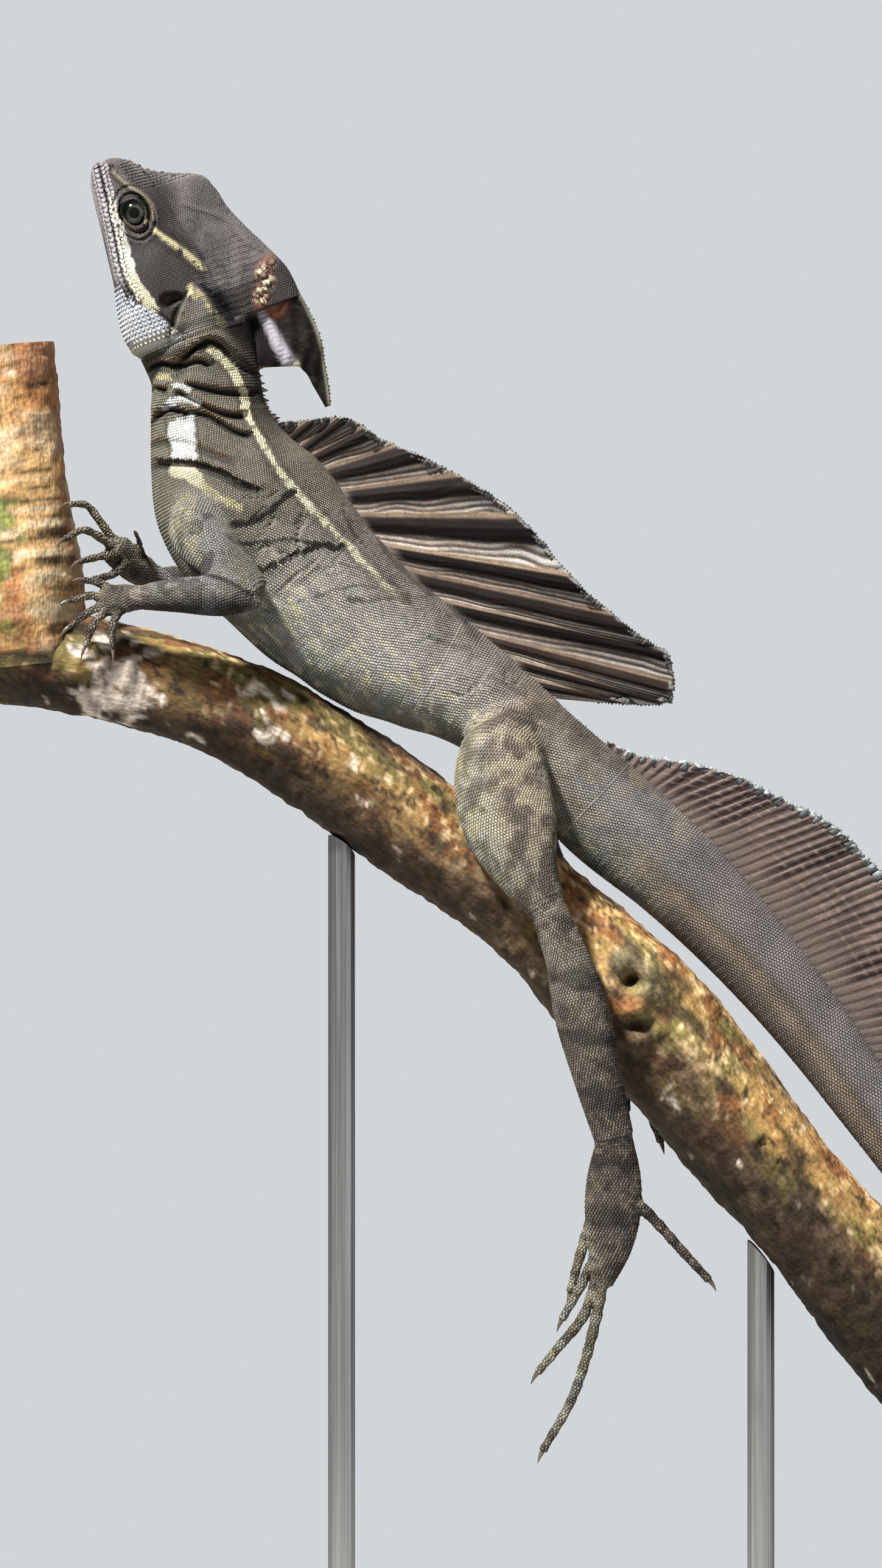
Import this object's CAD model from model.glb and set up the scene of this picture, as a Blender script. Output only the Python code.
import math

import bmesh
import bpy
import numpy as np
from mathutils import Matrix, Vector
from mathutils.bvhtree import BVHTree
from mathutils.kdtree import KDTree


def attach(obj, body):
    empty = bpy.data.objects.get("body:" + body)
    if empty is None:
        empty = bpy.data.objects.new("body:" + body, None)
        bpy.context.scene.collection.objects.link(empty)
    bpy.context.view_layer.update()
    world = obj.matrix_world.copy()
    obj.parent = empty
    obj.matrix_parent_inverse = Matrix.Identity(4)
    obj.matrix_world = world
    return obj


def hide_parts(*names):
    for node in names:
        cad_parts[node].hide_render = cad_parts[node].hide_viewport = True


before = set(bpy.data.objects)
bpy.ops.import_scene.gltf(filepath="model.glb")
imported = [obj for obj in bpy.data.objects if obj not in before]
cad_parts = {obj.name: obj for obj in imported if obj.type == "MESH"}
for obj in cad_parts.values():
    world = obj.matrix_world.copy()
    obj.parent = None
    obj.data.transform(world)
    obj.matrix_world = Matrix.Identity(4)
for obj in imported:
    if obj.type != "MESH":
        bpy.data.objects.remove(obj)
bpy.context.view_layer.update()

# Display base. The real one is a short board of dark hardwood, planed, with its upper edges eased,
# oiled and rubbed down. Its solid keeps its shape and gets the wood.
MM = 0.001


def new_finish(name, roughness=0.5, metallic=0.0, **levels):
    """A new node material with its node tree and shader; levels are further numbers of the shader."""
    material = bpy.data.materials.new(name)
    material.use_nodes = True
    shader = material.node_tree.nodes["Principled BSDF"]
    for key, value in {"Roughness": roughness, "Metallic": metallic, **levels}.items():
        shader.inputs[key.replace("_", " ")].default_value = value
    return material, material.node_tree, shader


def add_node(tree, kind, settings=None, **links):
    """A node with its settings; each link names an input and gives a value or an output socket."""
    node = tree.nodes.new(kind)
    for key, value in (settings or {}).items():
        setattr(node, key, value)
    for key, value in links.items():
        socket = node.inputs[int(key[1:])] if key[1:].isdigit() else node.inputs[key.replace("_", " ")]
        if isinstance(value, bpy.types.NodeSocket):
            tree.links.new(value, socket)
        else:
            socket.default_value = value
    return node


def own_place(tree):
    """The point on the piece itself."""
    return add_node(tree, "ShaderNodeTexCoord").outputs["Object"]


def stored(tree, name, output="Color"):
    """A colour or vector that the mesh carries."""
    return add_node(tree, "ShaderNodeAttribute", {"attribute_name": name}).outputs[output]


def stretched(tree, place, *scale):
    """A place drawn out along the axes."""
    return add_node(tree, "ShaderNodeMapping", None, Vector=place, Scale=scale).outputs[0]


def noise(tree, place, scale, detail, **more):
    """A soft random height."""
    links = {"Vector": place, "Scale": scale, "Detail": detail, **more}
    return add_node(tree, "ShaderNodeTexNoise", None, **links).outputs["Fac"]


def color_ramp(tree, source, *stops):
    """A ramp through pairs of place and colour."""
    node = tree.nodes.new("ShaderNodeValToRGB")
    tree.links.new(source, node.inputs["Fac"])
    elements = node.color_ramp.elements
    while len(elements) < len(stops):
        elements.new(0.5)
    for element, (place, color) in zip(elements, stops):
        element.position = place
        element.color = (*color, 1.0)
    return node.outputs["Color"]


def paint(tree, shader, color, shade, amount):
    """Darken a colour by a shade and give it to the shader."""
    node = add_node(tree, "ShaderNodeMix", {"data_type": "RGBA", "blend_type": "MULTIPLY"}, _0=amount,
                    _6=color, _7=shade)
    tree.links.new(node.outputs[2], shader.inputs["Base Color"])


def add_bump(tree, shader, height, strength, distance):
    """Fine relief on a shader from a height."""
    node = add_node(tree, "ShaderNodeBump", None, Strength=strength, Distance=distance, Height=height)
    tree.links.new(node.outputs["Normal"], shader.inputs["Normal"])


def vary_roughness(tree, shader, height, low, high):
    """Roughness between two levels by a height."""
    node = add_node(tree, "ShaderNodeMapRange", None, Value=height, _3=low, _4=high)
    tree.links.new(node.outputs[0], shader.inputs["Roughness"])


def dress(node_name, material):
    """Give a solid its material in place of the plain one."""
    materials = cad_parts[node_name].data.materials
    materials.clear()
    materials.append(material)


wood, tree, shader = new_finish("oiled_hardwood", 0.42, Coat_Weight=0.18, Coat_Roughness=0.25)
place = own_place(tree)
plank = stretched(tree, place, 2.2, 26.0, 26.0)
rings = add_node(tree, "ShaderNodeTexWave", {"bands_direction": "Y", "wave_profile": "SAW"},
                 Vector=plank, Scale=0.8, Distortion=7.0, Detail=3.0, Detail_Scale=1.2)
pores = noise(tree, stretched(tree, place, 60.0, 900.0, 900.0), 1.0, 3.0)
grain_mix = add_node(tree, "ShaderNodeMix", {"data_type": "FLOAT"}, _0=0.45,
                     _2=noise(tree, plank, 2.4, 5.0), _3=rings.outputs["Fac"])
wood_color = color_ramp(tree, grain_mix.outputs[0], (0.2, (0.045, 0.021, 0.010)),
                        (0.5, (0.115, 0.056, 0.026)), (0.8, (0.20, 0.105, 0.050)))
pore_shade = color_ramp(tree, pores, (0.36, (0.35, 0.35, 0.35)), (0.5, (1.0, 1.0, 1.0)))
paint(tree, shader, wood_color, pore_shade, 0.75)
add_bump(tree, shader, pores, 0.25, 0.0002)
dress("stand_base", wood)

# Stand rods. Two lengths of drawn steel rod, brushed along their length, let into the board and
# pinned into the underside of the branch. Their solids keep their shape and get the metal.
steel, tree, shader = new_finish("brushed_steel", 0.32, 1.0)
streaks = noise(tree, stretched(tree, own_place(tree), 2600.0, 2600.0, 14.0), 1.0, 2.0)
steel_color = color_ramp(tree, streaks, (0.3, (0.33, 0.33, 0.335)), (0.7, (0.52, 0.52, 0.51)))
tree.links.new(steel_color, shader.inputs["Base Color"])
vary_roughness(tree, shader, streaks, 0.26, 0.42)
dress("stand_rod_front", steel)
dress("stand_rod_rear", steel)

# Perch. A cut length of forked branch with thin bark, mottled cream, rust and brown, with grey
# lichen by the fork and moss on the stem. Both lengths are sawn off and show their growth rings.
SIDE = np.array([0.0, 1.0, 0.0])
FULL_TURN = 2.0 * math.pi
BRANCH_AXIS = (
    (-169.2, 464.4, 15.2), (-142.2, 460.8, 16.4), (-117.0, 455.4, 15.4), (-83.5, 445.5, 16.2),
    (-52.2, 426.6, 17.2), (-23.4, 405.9, 17.1), (5.4, 385.2, 17.6), (34.2, 358.2, 20.8),
    (55.6, 333.0, 19.8), (78.8, 304.2, 18.4), (107.8, 269.3, 19.2), (134.0, 238.0, 19.0),
)
STEM_AXIS = (
    (-146.5, 458.0, 19.0), (-148.4, 476.0, 21.6), (-151.6, 506.0, 21.0), (-155.0, 530.0, 20.8),
    (-158.0, 551.0, 21.2),
)
BRANCH_SAW_X = 113.0
# Knots: x, z, size and height of the swollen ring round each.
KNOTS = ((33.5, 366.0, 9.5, 2.8), (34.0, 353.0, 7.5, 1.7), (-128.0, 462.0, 7.0, 1.2),
         (72.0, 318.0, 5.0, 1.0))


def rows_at(keys, at):
    """Rows read off a smooth curve through the key rows, whose first column is the parameter."""
    table = np.asarray(keys, dtype=float)
    at = np.atleast_1d(np.asarray(at, dtype=float))
    x = table[:, 0]
    y = table[:, 1:]
    slope = np.gradient(y, x, axis=0)
    low = np.clip(np.searchsorted(x, at, side="right") - 1, 0, len(x) - 2)
    step = (x[low + 1] - x[low])[:, None]
    t = np.clip((at[:, None] - x[low][:, None]) / step, 0.0, 1.0)
    a = (1.0 + 2.0 * t) * (1.0 - t) ** 2
    b = t * (1.0 - t) ** 2
    c = t * t * (3.0 - 2.0 * t)
    d = t * t * (t - 1.0)
    return a * y[low] + b * step * slope[low] + c * y[low + 1] + d * step * slope[low + 1]


def running_length(points):
    """Distance along a line of points from its first one."""
    return np.concatenate(([0.0], np.cumsum(np.linalg.norm(np.diff(points, axis=0), axis=1))))


def with_distance(points):
    """The points with their running distance from the first one as a leading column."""
    table = np.asarray(points, dtype=float)
    return np.column_stack((running_length(table[:, :3]), table))


def unit(vectors):
    """The vectors brought to length one."""
    return vectors / np.maximum(np.linalg.norm(vectors, axis=-1, keepdims=True), 1e-9)


def dots(a, b):
    """The product of each pair of rows."""
    return np.einsum("ij,ij->i", a, b)


def bell(x, middle, width, power=2):
    """A soft bump of height 1 round a middle value."""
    return np.exp(-((x - middle) / width) ** power)


def blob(a, b, center, size):
    """A soft round spot about a centre, with its size along either direction."""
    return np.exp(-((a - center[0]) / size[0]) ** 2 - ((b - center[1]) / size[1]) ** 2)


def speckle(points, size, seed):
    """Smooth random values between 0 and 1 at the points, in blobs of about the given size."""
    cell = np.asarray(points, dtype=float) / size
    base = np.floor(cell).astype(np.int64)
    f = cell - base
    f = f * f * (3.0 - 2.0 * f)
    total = np.zeros(len(cell))
    for corner in np.ndindex(2, 2, 2):
        x, y, z = (base + corner).T
        mixed = (x * 73856093) ^ (y * 19349663) ^ (z * 83492791) ^ (seed * 40503)
        mixed = (mixed ^ (mixed >> 13)) * 1274126177
        value = ((mixed ^ (mixed >> 16)) & 65535) / 65535.0
        wx, wy, wz = (f[:, k] if corner[k] else 1.0 - f[:, k] for k in range(3))
        total += value * wx * wy * wz
    return total


def lay(under, tone, amount):
    """One colour laid over others by an amount between 0 and 1 for each point."""
    return under + (np.asarray(tone) - under) * np.clip(amount, 0.0, 1.0)[..., None]


def cover(height, gain, most):
    """How far a colour covers where a height is above nought, up to the most."""
    return np.clip(height * gain, 0.0, most)


def search_tree(points):
    """A tree that finds the nearest of the points."""
    found = KDTree(len(points))
    for i, point in enumerate(points):
        found.insert(point, i)
    found.balance()
    return found


def new_piece(name, points, *face_sets, smooth=True):
    """A mesh object in metres from points in millimetres and arrays of triangles or quads."""
    mesh = bpy.data.meshes.new(name)
    corners = np.concatenate([f.ravel() for f in face_sets]).astype(np.int32)
    sizes = np.concatenate([np.full(len(f), f.shape[1]) for f in face_sets])
    mesh.vertices.add(len(points))
    mesh.vertices.foreach_set("co", (np.asarray(points) * MM).astype(np.float32).ravel())
    mesh.loops.add(len(corners))
    mesh.loops.foreach_set("vertex_index", corners)
    mesh.polygons.add(len(sizes))
    mesh.polygons.foreach_set("loop_start", np.concatenate(([0], np.cumsum(sizes)[:-1])).astype(np.int32))
    mesh.update(calc_edges=True)
    mesh.validate()
    if smooth:
        mesh.shade_smooth()
    obj = bpy.data.objects.new(name, mesh)
    bpy.context.scene.collection.objects.link(obj)
    return obj


def grid_quads(rows, count, first=0):
    """Quads between consecutive closed rings of equal count."""
    i = np.arange(rows - 1)[:, None] * count + first
    j = np.arange(count)[None, :]
    k = (j + 1) % count
    return np.stack((i + j, i + k, i + count + k, i + count + j), axis=-1).reshape(-1, 4)


def faced_outward(points, quads, tris):
    """The faces of a closed body, turned round if they face inward."""
    a, b, c, d = (points[quads[:, n]] for n in range(4))
    if np.einsum("ij,ij->", a, np.cross(b, c)) + np.einsum("ij,ij->", a, np.cross(c, d)) < 0.0:
        return quads[:, ::-1], tris[:, ::-1]
    return quads, tris


def ring_body(name, rings, smooth=True):
    """A closed body through equal rings, its ends closed round their middles, facing outward."""
    rings = np.asarray(rings)
    rows, count = rings.shape[:2]
    points = np.concatenate((rings.reshape(-1, 3), rings[:1].mean(axis=1), rings[-1:].mean(axis=1)))
    j = np.arange(count)
    k = (j + 1) % count
    start = np.column_stack((k, j, np.full(count, rows * count)))
    last = (rows - 1) * count
    end = np.column_stack((last + j, last + k, np.full(count, rows * count + 1)))
    faces = faced_outward(points, grid_quads(rows, count), np.concatenate((start, end)))
    return new_piece(name, points, *faces, smooth=smooth)


def merge_solids(obj, other):
    """Unite the object with another closed body, which is used up."""
    union = obj.modifiers.new("Union", "BOOLEAN")
    union.operation = "UNION"
    union.solver = "MANIFOLD"
    union.object = other
    bpy.context.view_layer.update()
    graph = bpy.context.evaluated_depsgraph_get()
    graph.update()
    mesh = bpy.data.meshes.new_from_object(obj.evaluated_get(graph))
    obj.modifiers.clear()
    old = obj.data
    obj.data = mesh
    bpy.data.meshes.remove(old)
    obj.data.materials.clear()
    bpy.data.objects.remove(other)


def points_of(obj):
    """The object's vertices in millimetres."""
    flat = np.empty(3 * len(obj.data.vertices), dtype=np.float32)
    obj.data.vertices.foreach_get("co", flat)
    return flat.reshape(-1, 3).astype(float) / MM


def store_colors(obj, values):
    """A colour for every vertex."""
    values = np.asarray(values, dtype=np.float32)
    values = np.column_stack((values, np.ones(len(values), dtype=np.float32)))
    obj.data.attributes.new("Color", "FLOAT_COLOR", "POINT").data.foreach_set("color", values.ravel())


def axis_rows(axis, count):
    """Rows down the middle of a branch: their places, centres with radius, directions and upward ways."""
    table = with_distance([(x, 0.0, z, r) for x, z, r in axis])
    places = np.linspace(0.0, table[-1, 0], count(table[-1, 0]))
    rows = rows_at(table, places)
    tangent = unit(np.gradient(rows[:, :3], axis=0))
    return places, rows, tangent, np.cross(tangent, SIDE)


def bark_rings(axis, step, sides, seed):
    """Sections of a branch whose bark is knobbed, wrinkled across and cracked along."""
    places, rows, _, up = axis_rows(axis, lambda length: int(length / step))
    a = np.linspace(0.0, FULL_TURN, sides, endpoint=False)[None, :]
    s = places[:, None]
    knob = 0.5 * np.sin(3.0 * a + 0.045 * s) + 0.4 * np.sin(5.0 * a - 0.09 * s)
    radius = rows[:, 3:4] + knob
    flat = np.stack(np.broadcast_arrays(12.0 * np.cos(a), 12.0 * np.sin(a), s), axis=-1).reshape(-1, 3)
    relief = -0.9 * speckle(flat, 14.0, seed) - 0.5 * speckle(flat * (1, 1, 0.5), 4.0, seed + 1)
    wrinkle = speckle(flat * (0.35, 0.35, 1.6), 2.4, seed + 2)
    crack = speckle(flat * (1.3, 1.3, 0.16), 2.6, seed + 3)
    relief -= 0.45 * wrinkle + 0.9 * np.clip(0.30 - crack, 0.0, 1.0) / 0.30
    relief += 0.9 * (speckle(flat, 2.2, seed + 4) - 0.5)
    radius = radius + relief.reshape(radius.shape)
    out = rows[:, None, :3] + radius[..., None] * (np.cos(a)[..., None] * up[:, None, :]
                                                   + np.sin(a)[..., None] * SIDE)
    for x, z, size, height in KNOTS:
        from_x = out[..., 0] - x
        from_z = out[..., 2] - z
        rough = speckle(out.reshape(-1, 3), 4.0, seed + 5).reshape(from_x.shape)
        slit = np.hypot(0.7 * from_x, 1.5 * from_z) / size + 0.3 * (rough - 0.5)
        lift = height * ((0.3 + 1.4 * rough) * bell(np.hypot(from_x, from_z) / size, 0.6, 0.5)
                         - 1.5 * bell(slit, 0.0, 0.26))
        out[..., 1] -= lift * np.clip(-out[..., 1] / 8.0, 0.0, 1.0)
    return out


perch = ring_body("perch_bark", bark_rings(BRANCH_AXIS, 1.15, 96, 3))
merge_solids(perch, ring_body("stem", bark_rings(STEM_AXIS, 1.2, 110, 11)))
bm = bmesh.new()
bm.from_mesh(perch.data)
cut_ring = bmesh.ops.bisect_plane(bm, geom=bm.verts[:] + bm.edges[:] + bm.faces[:],
                                  plane_co=(BRANCH_SAW_X * MM, 0.0, 0.0), plane_no=(1.0, 0.0, 0.0),
                                  clear_outer=True)
bmesh.ops.holes_fill(bm, edges=[g for g in cut_ring["geom_cut"] if isinstance(g, bmesh.types.BMEdge)])
bm.to_mesh(perch.data)
bm.free()
perch.data.shade_smooth()
perch.data.set_sharp_from_angle(angle=math.radians(50.0))


def straightened(points, axis):
    """The points as they would lie if the branch were straight: two coordinates across, one along."""
    places, rows, tangent, up = axis_rows(axis, lambda length: 160)
    axis_tree = search_tree(rows[:, :3])
    near = np.array([axis_tree.find(p)[1] for p in points])
    offset = points - rows[near, :3]
    along = dots(offset, tangent[near])
    flat = np.column_stack((dots(offset, up[near]), points[:, 1], places[near] + along))
    return flat, np.hypot(flat[:, 0], flat[:, 1]) - rows[near, 3]


points = points_of(perch)
x, y, z = points.T
flat_branch, over_branch = straightened(points, BRANCH_AXIS)
flat_stem, over_stem = straightened(points, STEM_AXIS)
on_stem = (over_stem < over_branch) & (z > 462.0)
flat = np.where(on_stem[:, None], flat_stem + (0.0, 0.0, 900.0), flat_branch)
over = np.where(on_stem, over_stem, over_branch)
near_side = y < 0.0
blotch = speckle(flat * (1.0, 1.0, 0.45), 9.0, 21)
fine = speckle(flat * (1.0, 1.0, 0.6), 3.0, 22)
fleck = speckle(flat, 1.6, 23)
broad = speckle(flat * (1.0, 1.0, 0.5), 11.0, 25)
spots = speckle(flat * (1.0, 1.0, 0.6), 5.0, 26)
holes = speckle(flat * (1.0, 1.0, 0.5), 5.0, 27)
grit = speckle(flat, 1.1, 28)
bands = speckle(flat * (0.25, 0.25, 1.5), 3.2, 29)
gold = np.array([0.320, 0.195, 0.072])
cream = (0.450, 0.330, 0.180)
rust = np.array([0.190, 0.070, 0.026])
umber = np.array([0.030, 0.020, 0.013])
olive = (0.115, 0.110, 0.034)


def tinted(tone, shade):
    """A colour with its own shade at each point."""
    return np.asarray(tone) * shade[:, None]


bark = np.tile(gold, (len(points), 1))
bark = lay(bark, olive, cover(broad - 0.50, 5.0, 0.8))
bark = lay(bark, rust, cover(spots - 0.50, 5.0, 0.8))
bark = lay(bark, cream, cover(0.25 * blotch + 0.25 * fine + 0.5 * fleck - 0.57, 12.0, 0.9))
bark = lay(bark, umber, cover(0.40 - 0.5 * fine - 0.5 * grit, 9.0, 0.9))
bark = lay(bark, umber, cover(0.34 - holes, 6.0, 0.8))
far_end = np.clip((x - 40.0) / 90.0, 0.0, 0.5)
under = np.clip(0.45 - flat[:, 0] / 12.0 + blotch - 0.5 + far_end, 0.0, 1.0)
bark = lay(bark, tinted(umber, 0.2 + 1.4 * fine), 0.92 * under)
bark *= ((0.72 + 0.56 * fleck) * np.clip(1.05 + 0.32 * (over + 0.9), 0.25, 1.25))[:, None]
stem = np.tile((0.350, 0.215, 0.095), (len(points), 1))
stem = lay(stem, (0.440, 0.350, 0.230), cover(bands - 0.50, 5.0, 0.8))
stem = lay(stem, (0.230, 0.085, 0.032), cover(broad - 0.46, 5.0, 0.75))
stem = lay(stem, umber, cover(0.36 - bands, 8.0, 0.8))
stem *= (0.7 + 0.6 * fleck)[:, None]
bark = np.where(on_stem[:, None], stem, bark)
shaded_part = 1.0 - 0.42 * np.clip((-x - 8.0) / 34.0, 0.0, 1.0) * ~on_stem
low_part = np.clip((x - 45.0) / 35.0, 0.0, 1.0) * np.clip(0.7 - flat[:, 0] / 10.0, 0.0, 1.0)
bark *= (shaded_part * (1.0 - 0.55 * low_part))[:, None]
lichen_place = np.maximum(blob(x, z, (-117.0, 453.0), (19.0, 15.0)),
                          0.9 * blob(x, z, (-74.0, 444.0), (8.0, 9.0)))
ragged = speckle(flat * (1.0, 1.0, 0.6), 4.0, 31) + 0.7 * fine + 0.5 * fleck
lichen = cover(lichen_place * 0.8 + ragged - 1.62, 3.5, 0.85)
bark = lay(bark, tinted((0.44, 0.39, 0.34), 0.15 + 0.9 * fleck + 0.6 * fine), lichen)
knot = bell(np.hypot(x - 33.5, z - 366.0), 6.0, 4.0) * near_side
bark = lay(bark, tinted((0.15, 0.14, 0.08), 0.3 + 1.4 * fleck), 0.5 * knot)
crease = np.hypot((x - 34.0) / 7.0, (z - 353.0 - 0.3 * (x - 34.0)) / 1.8)
bark = lay(bark, umber, 0.9 * bell(crease, 0.0, 1.0) * near_side)
lip = np.hypot((x - 31.0) / 7.0, (z - 359.0) / 3.0)
bark = lay(bark, tinted(rust, 0.4 + 1.3 * fleck), 0.8 * bell(lip, 0.0, 1.0, 4) * near_side)
moss_place = blob(x, z, (-164.0, 488.0), (20.0, 34.0))
moss = cover(moss_place + 0.6 * speckle(points, 5.0, 33) + 0.3 * fleck - 0.90, 6.0, 0.95)
bark = lay(bark, tinted((0.085, 0.125, 0.030), 0.25 + 1.5 * grit), 0.85 * moss)
store_colors(perch, bark)
grain_layer = perch.data.attributes.new("Grain", "FLOAT_VECTOR", "POINT")
grain_layer.data.foreach_set("vector", (flat * MM).astype(np.float32).ravel())

bark_finish, tree, shader = new_finish("mottled_bark", 0.82, Specular_IOR_Level=0.2)
grain = stored(tree, "Grain", "Vector")
fibre = noise(tree, stretched(tree, grain, 1.0, 1.0, 0.3), 950.0, 6.0, Roughness=0.62)
pits = add_node(tree, "ShaderNodeTexVoronoi", None, Vector=grain, Scale=620.0)
fibre_shade = color_ramp(tree, fibre, (0.32, (0.45, 0.42, 0.40)), (0.5, (0.95, 0.93, 0.9)),
                         (0.72, (1.45, 1.42, 1.35)))
paint(tree, shader, stored(tree, "Color"), fibre_shade, 0.85)
height = add_node(tree, "ShaderNodeMath", {"operation": "MULTIPLY_ADD"}, _0=pits.outputs["Distance"],
                  _1=0.5, _2=fibre)
add_bump(tree, shader, height.outputs[0], 0.8, 0.0006)
sawn_wood, tree, shader = new_finish("sawn_end_grain", 0.75)
growth = add_node(tree, "ShaderNodeTexWave", {"wave_type": "RINGS", "rings_direction": "Z",
                                              "wave_profile": "SAW"}, Vector=stored(tree, "Grain", "Vector"),
                  Scale=110.0, Distortion=1.2, Detail=2.0, Detail_Scale=0.8)
ring_color = color_ramp(tree, growth.outputs["Fac"], (0.0, (0.50, 0.34, 0.18)), (0.75, (0.62, 0.47, 0.28)),
                        (1.0, (0.26, 0.15, 0.07)))
tree.links.new(ring_color, shader.inputs["Base Color"])
perch.data.materials.append(bark_finish)
perch.data.materials.append(sawn_wood)
SAWN_ENDS = ((-169.2, 464.4, unit(np.array([-27.0, 0.0, 3.6]))),
             (-158.0, 551.0, unit(np.array([-3.0, 0.0, 21.0]))),
             (BRANCH_SAW_X, 262.0, np.array([1.0, 0.0, 0.0])))
for face in perch.data.polygons:
    n = np.array(face.normal)
    c = np.array(face.center) / MM
    for end_x, end_z, outward in SAWN_ENDS:
        if n @ outward > 0.97 and abs((c - (end_x, 0.0, end_z)) @ outward) < 1.2:
            face.material_index = 1
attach(perch, "root")
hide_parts("perch_branch")

# Skin. One hide over the whole animal: head with its thin bony casque, throat pouch, folded neck,
# flat-sided trunk, limbs and tail, without a seam. It carries the markings, and lies just inside
# the sizes that the scales over it bring the body up to.
SNOUT = np.array([-124.2, 0.0, 607.0])
HEAD_BACK = np.array([0.342, 0.0, -0.940])
HEAD_UP = np.array([0.940, 0.0, 0.342])
INSET = 0.3
EYE_PLACE = (18.9, 5.4)
EYE_RADIUS = 5.6
EYE_SUNK = 3.9
EYE_OPENING = (3.8, 2.7)
CROWN_LINE = ((0.0, 5.2), (2.9, 9.7), (6.8, 13.2), (10.3, 20.0), (13.0, 26.5), (18.4, 30.2),
              (24.8, 31.8), (32.4, 35.0), (41.0, 39.3), (48.0, 42.3), (57.0, 43.4))
BROW_LINE = ((0.0, 3.6), (6.0, 6.8), (16.4, 11.6), (24.0, 13.0), (34.0, 15.5), (57.0, 19.0))
MOUTH_LINE = ((0.0, 0.4), (5.8, -0.2), (16.9, -1.5), (26.8, -3.0), (34.2, -3.9), (44.4, -2.9),
              (57.0, -2.9))
THROAT_LINE = ((0.0, -1.6), (4.0, -3.6), (10.4, -4.9), (19.3, -5.8), (27.7, -6.8), (36.0, -7.8),
               (45.9, -9.9), (51.8, -10.4), (57.0, -9.4))
CHEEK_WIDTH = ((0.0, 3.4), (2.0, 5.4), (6.0, 7.6), (11.0, 9.2), (18.0, 11.4), (26.0, 12.8),
               (36.0, 14.2), (46.0, 14.4), (57.0, 13.4))
NECK_TOP = 26.9
CASQUE_ROOT = 5.2
CASQUE_EDGE = 1.5
SPINE = (
    (-95.7, 0.0, 556.4, 17.5, 13.2), (-92.2, 0.0, 543.6, 16.2, 12.2), (-91.2, 0.0, 531.9, 17.6, 12.8),
    (-88.6, 0.0, 521.5, 20.8, 15.0), (-84.0, 0.0, 510.3, 25.0, 18.0), (-75.5, 0.0, 498.0, 26.6, 19.6),
    (-64.0, 0.0, 485.1, 24.6, 19.6), (-54.0, 0.0, 475.5, 23.6, 19.2), (-42.3, 0.0, 466.2, 21.8, 18.0),
    (-29.1, 0.0, 458.7, 19.4, 16.2), (-17.3, 0.0, 452.4, 16.8, 14.6), (-6.4, 0.0, 445.1, 14.8, 13.6),
    (5.4, 0.0, 434.7, 14.2, 13.4), (26.6, 0.0, 414.4, 15.6, 11.6), (46.8, 0.0, 397.0, 14.4, 9.8),
    (75.5, 0.0, 366.2, 12.0, 8.0), (102.1, 0.0, 331.2, 9.9, 6.8), (132.3, -1.0, 283.5, 7.4, 5.3),
    (146.5, -6.0, 229.0, 5.7, 4.3), (147.0, -12.0, 180.0, 4.4, 3.4), (134.0, -19.0, 134.0, 3.4, 2.7),
    (112.0, -26.0, 92.0, 2.5, 2.1), (84.0, -31.0, 58.0, 1.8, 1.6), (54.0, -34.0, 34.0, 0.9, 0.9),
)
SPINE_TABLE = with_distance(SPINE)
SPINE_LENGTH = SPINE_TABLE[-1, 0]


def line_at(line, u):
    """Height of one of the head's lines at distances behind the snout."""
    return rows_at(line, np.ravel(u))[:, 0].reshape(np.shape(u))


def head_uv(points):
    """Distances of points behind the snout and above the head's axis."""
    offset = points - SNOUT
    return offset @ HEAD_BACK, offset @ HEAD_UP


def from_head(u, v, w):
    """The point u behind the snout, v above the head's axis and w to the right."""
    return SNOUT + u * HEAD_BACK + v * HEAD_UP + w * SIDE


def off_line(a, b, line, reach=12.0, samples=48):
    """How far points lie from a line through key points, signed by its side, and how far along."""
    keys = np.asarray(line, dtype=float)
    steps = np.linspace(0.0, len(keys) - 1.0, samples)
    path = rows_at(np.column_stack((np.arange(len(keys)), keys)), steps)
    best = np.full(np.shape(a), 99.0)
    share = np.zeros(np.shape(a))
    near = ((a > path[:, 0].min() - reach) & (a < path[:, 0].max() + reach)
            & (b > path[:, 1].min() - reach) & (b < path[:, 1].max() + reach))
    pa = a[near]
    pb = b[near]
    distance = np.full(len(pa), 99.0)
    side = np.ones(len(pa))
    along = np.zeros(len(pa))
    for k in range(samples - 1):
        d = path[k + 1] - path[k]
        h = np.clip(((pa - path[k, 0]) * d[0] + (pb - path[k, 1]) * d[1]) / max(d @ d, 1e-9), 0.0, 1.0)
        ex = pa - path[k, 0] - h * d[0]
        ez = pb - path[k, 1] - h * d[1]
        r = np.hypot(ex, ez)
        closer = r < distance
        distance = np.where(closer, r, distance)
        side = np.where(closer, np.where(d[0] * ez - d[1] * ex >= 0.0, 1.0, -1.0), side)
        along = np.where(closer, (k + h) / (samples - 1), along)
    best[near] = distance * side
    share[near] = along
    return best, share


def step_up(x, low, high):
    """A smooth rise from 0 to 1 between two values."""
    t = np.clip((x - low) / (high - low), 0.0, 1.0)
    return t * t * (3.0 - 2.0 * t)


def step_down(x, low, high):
    """A smooth fall from 1 to 0 between two values."""
    return 1.0 - step_up(x, low, high)


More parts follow.
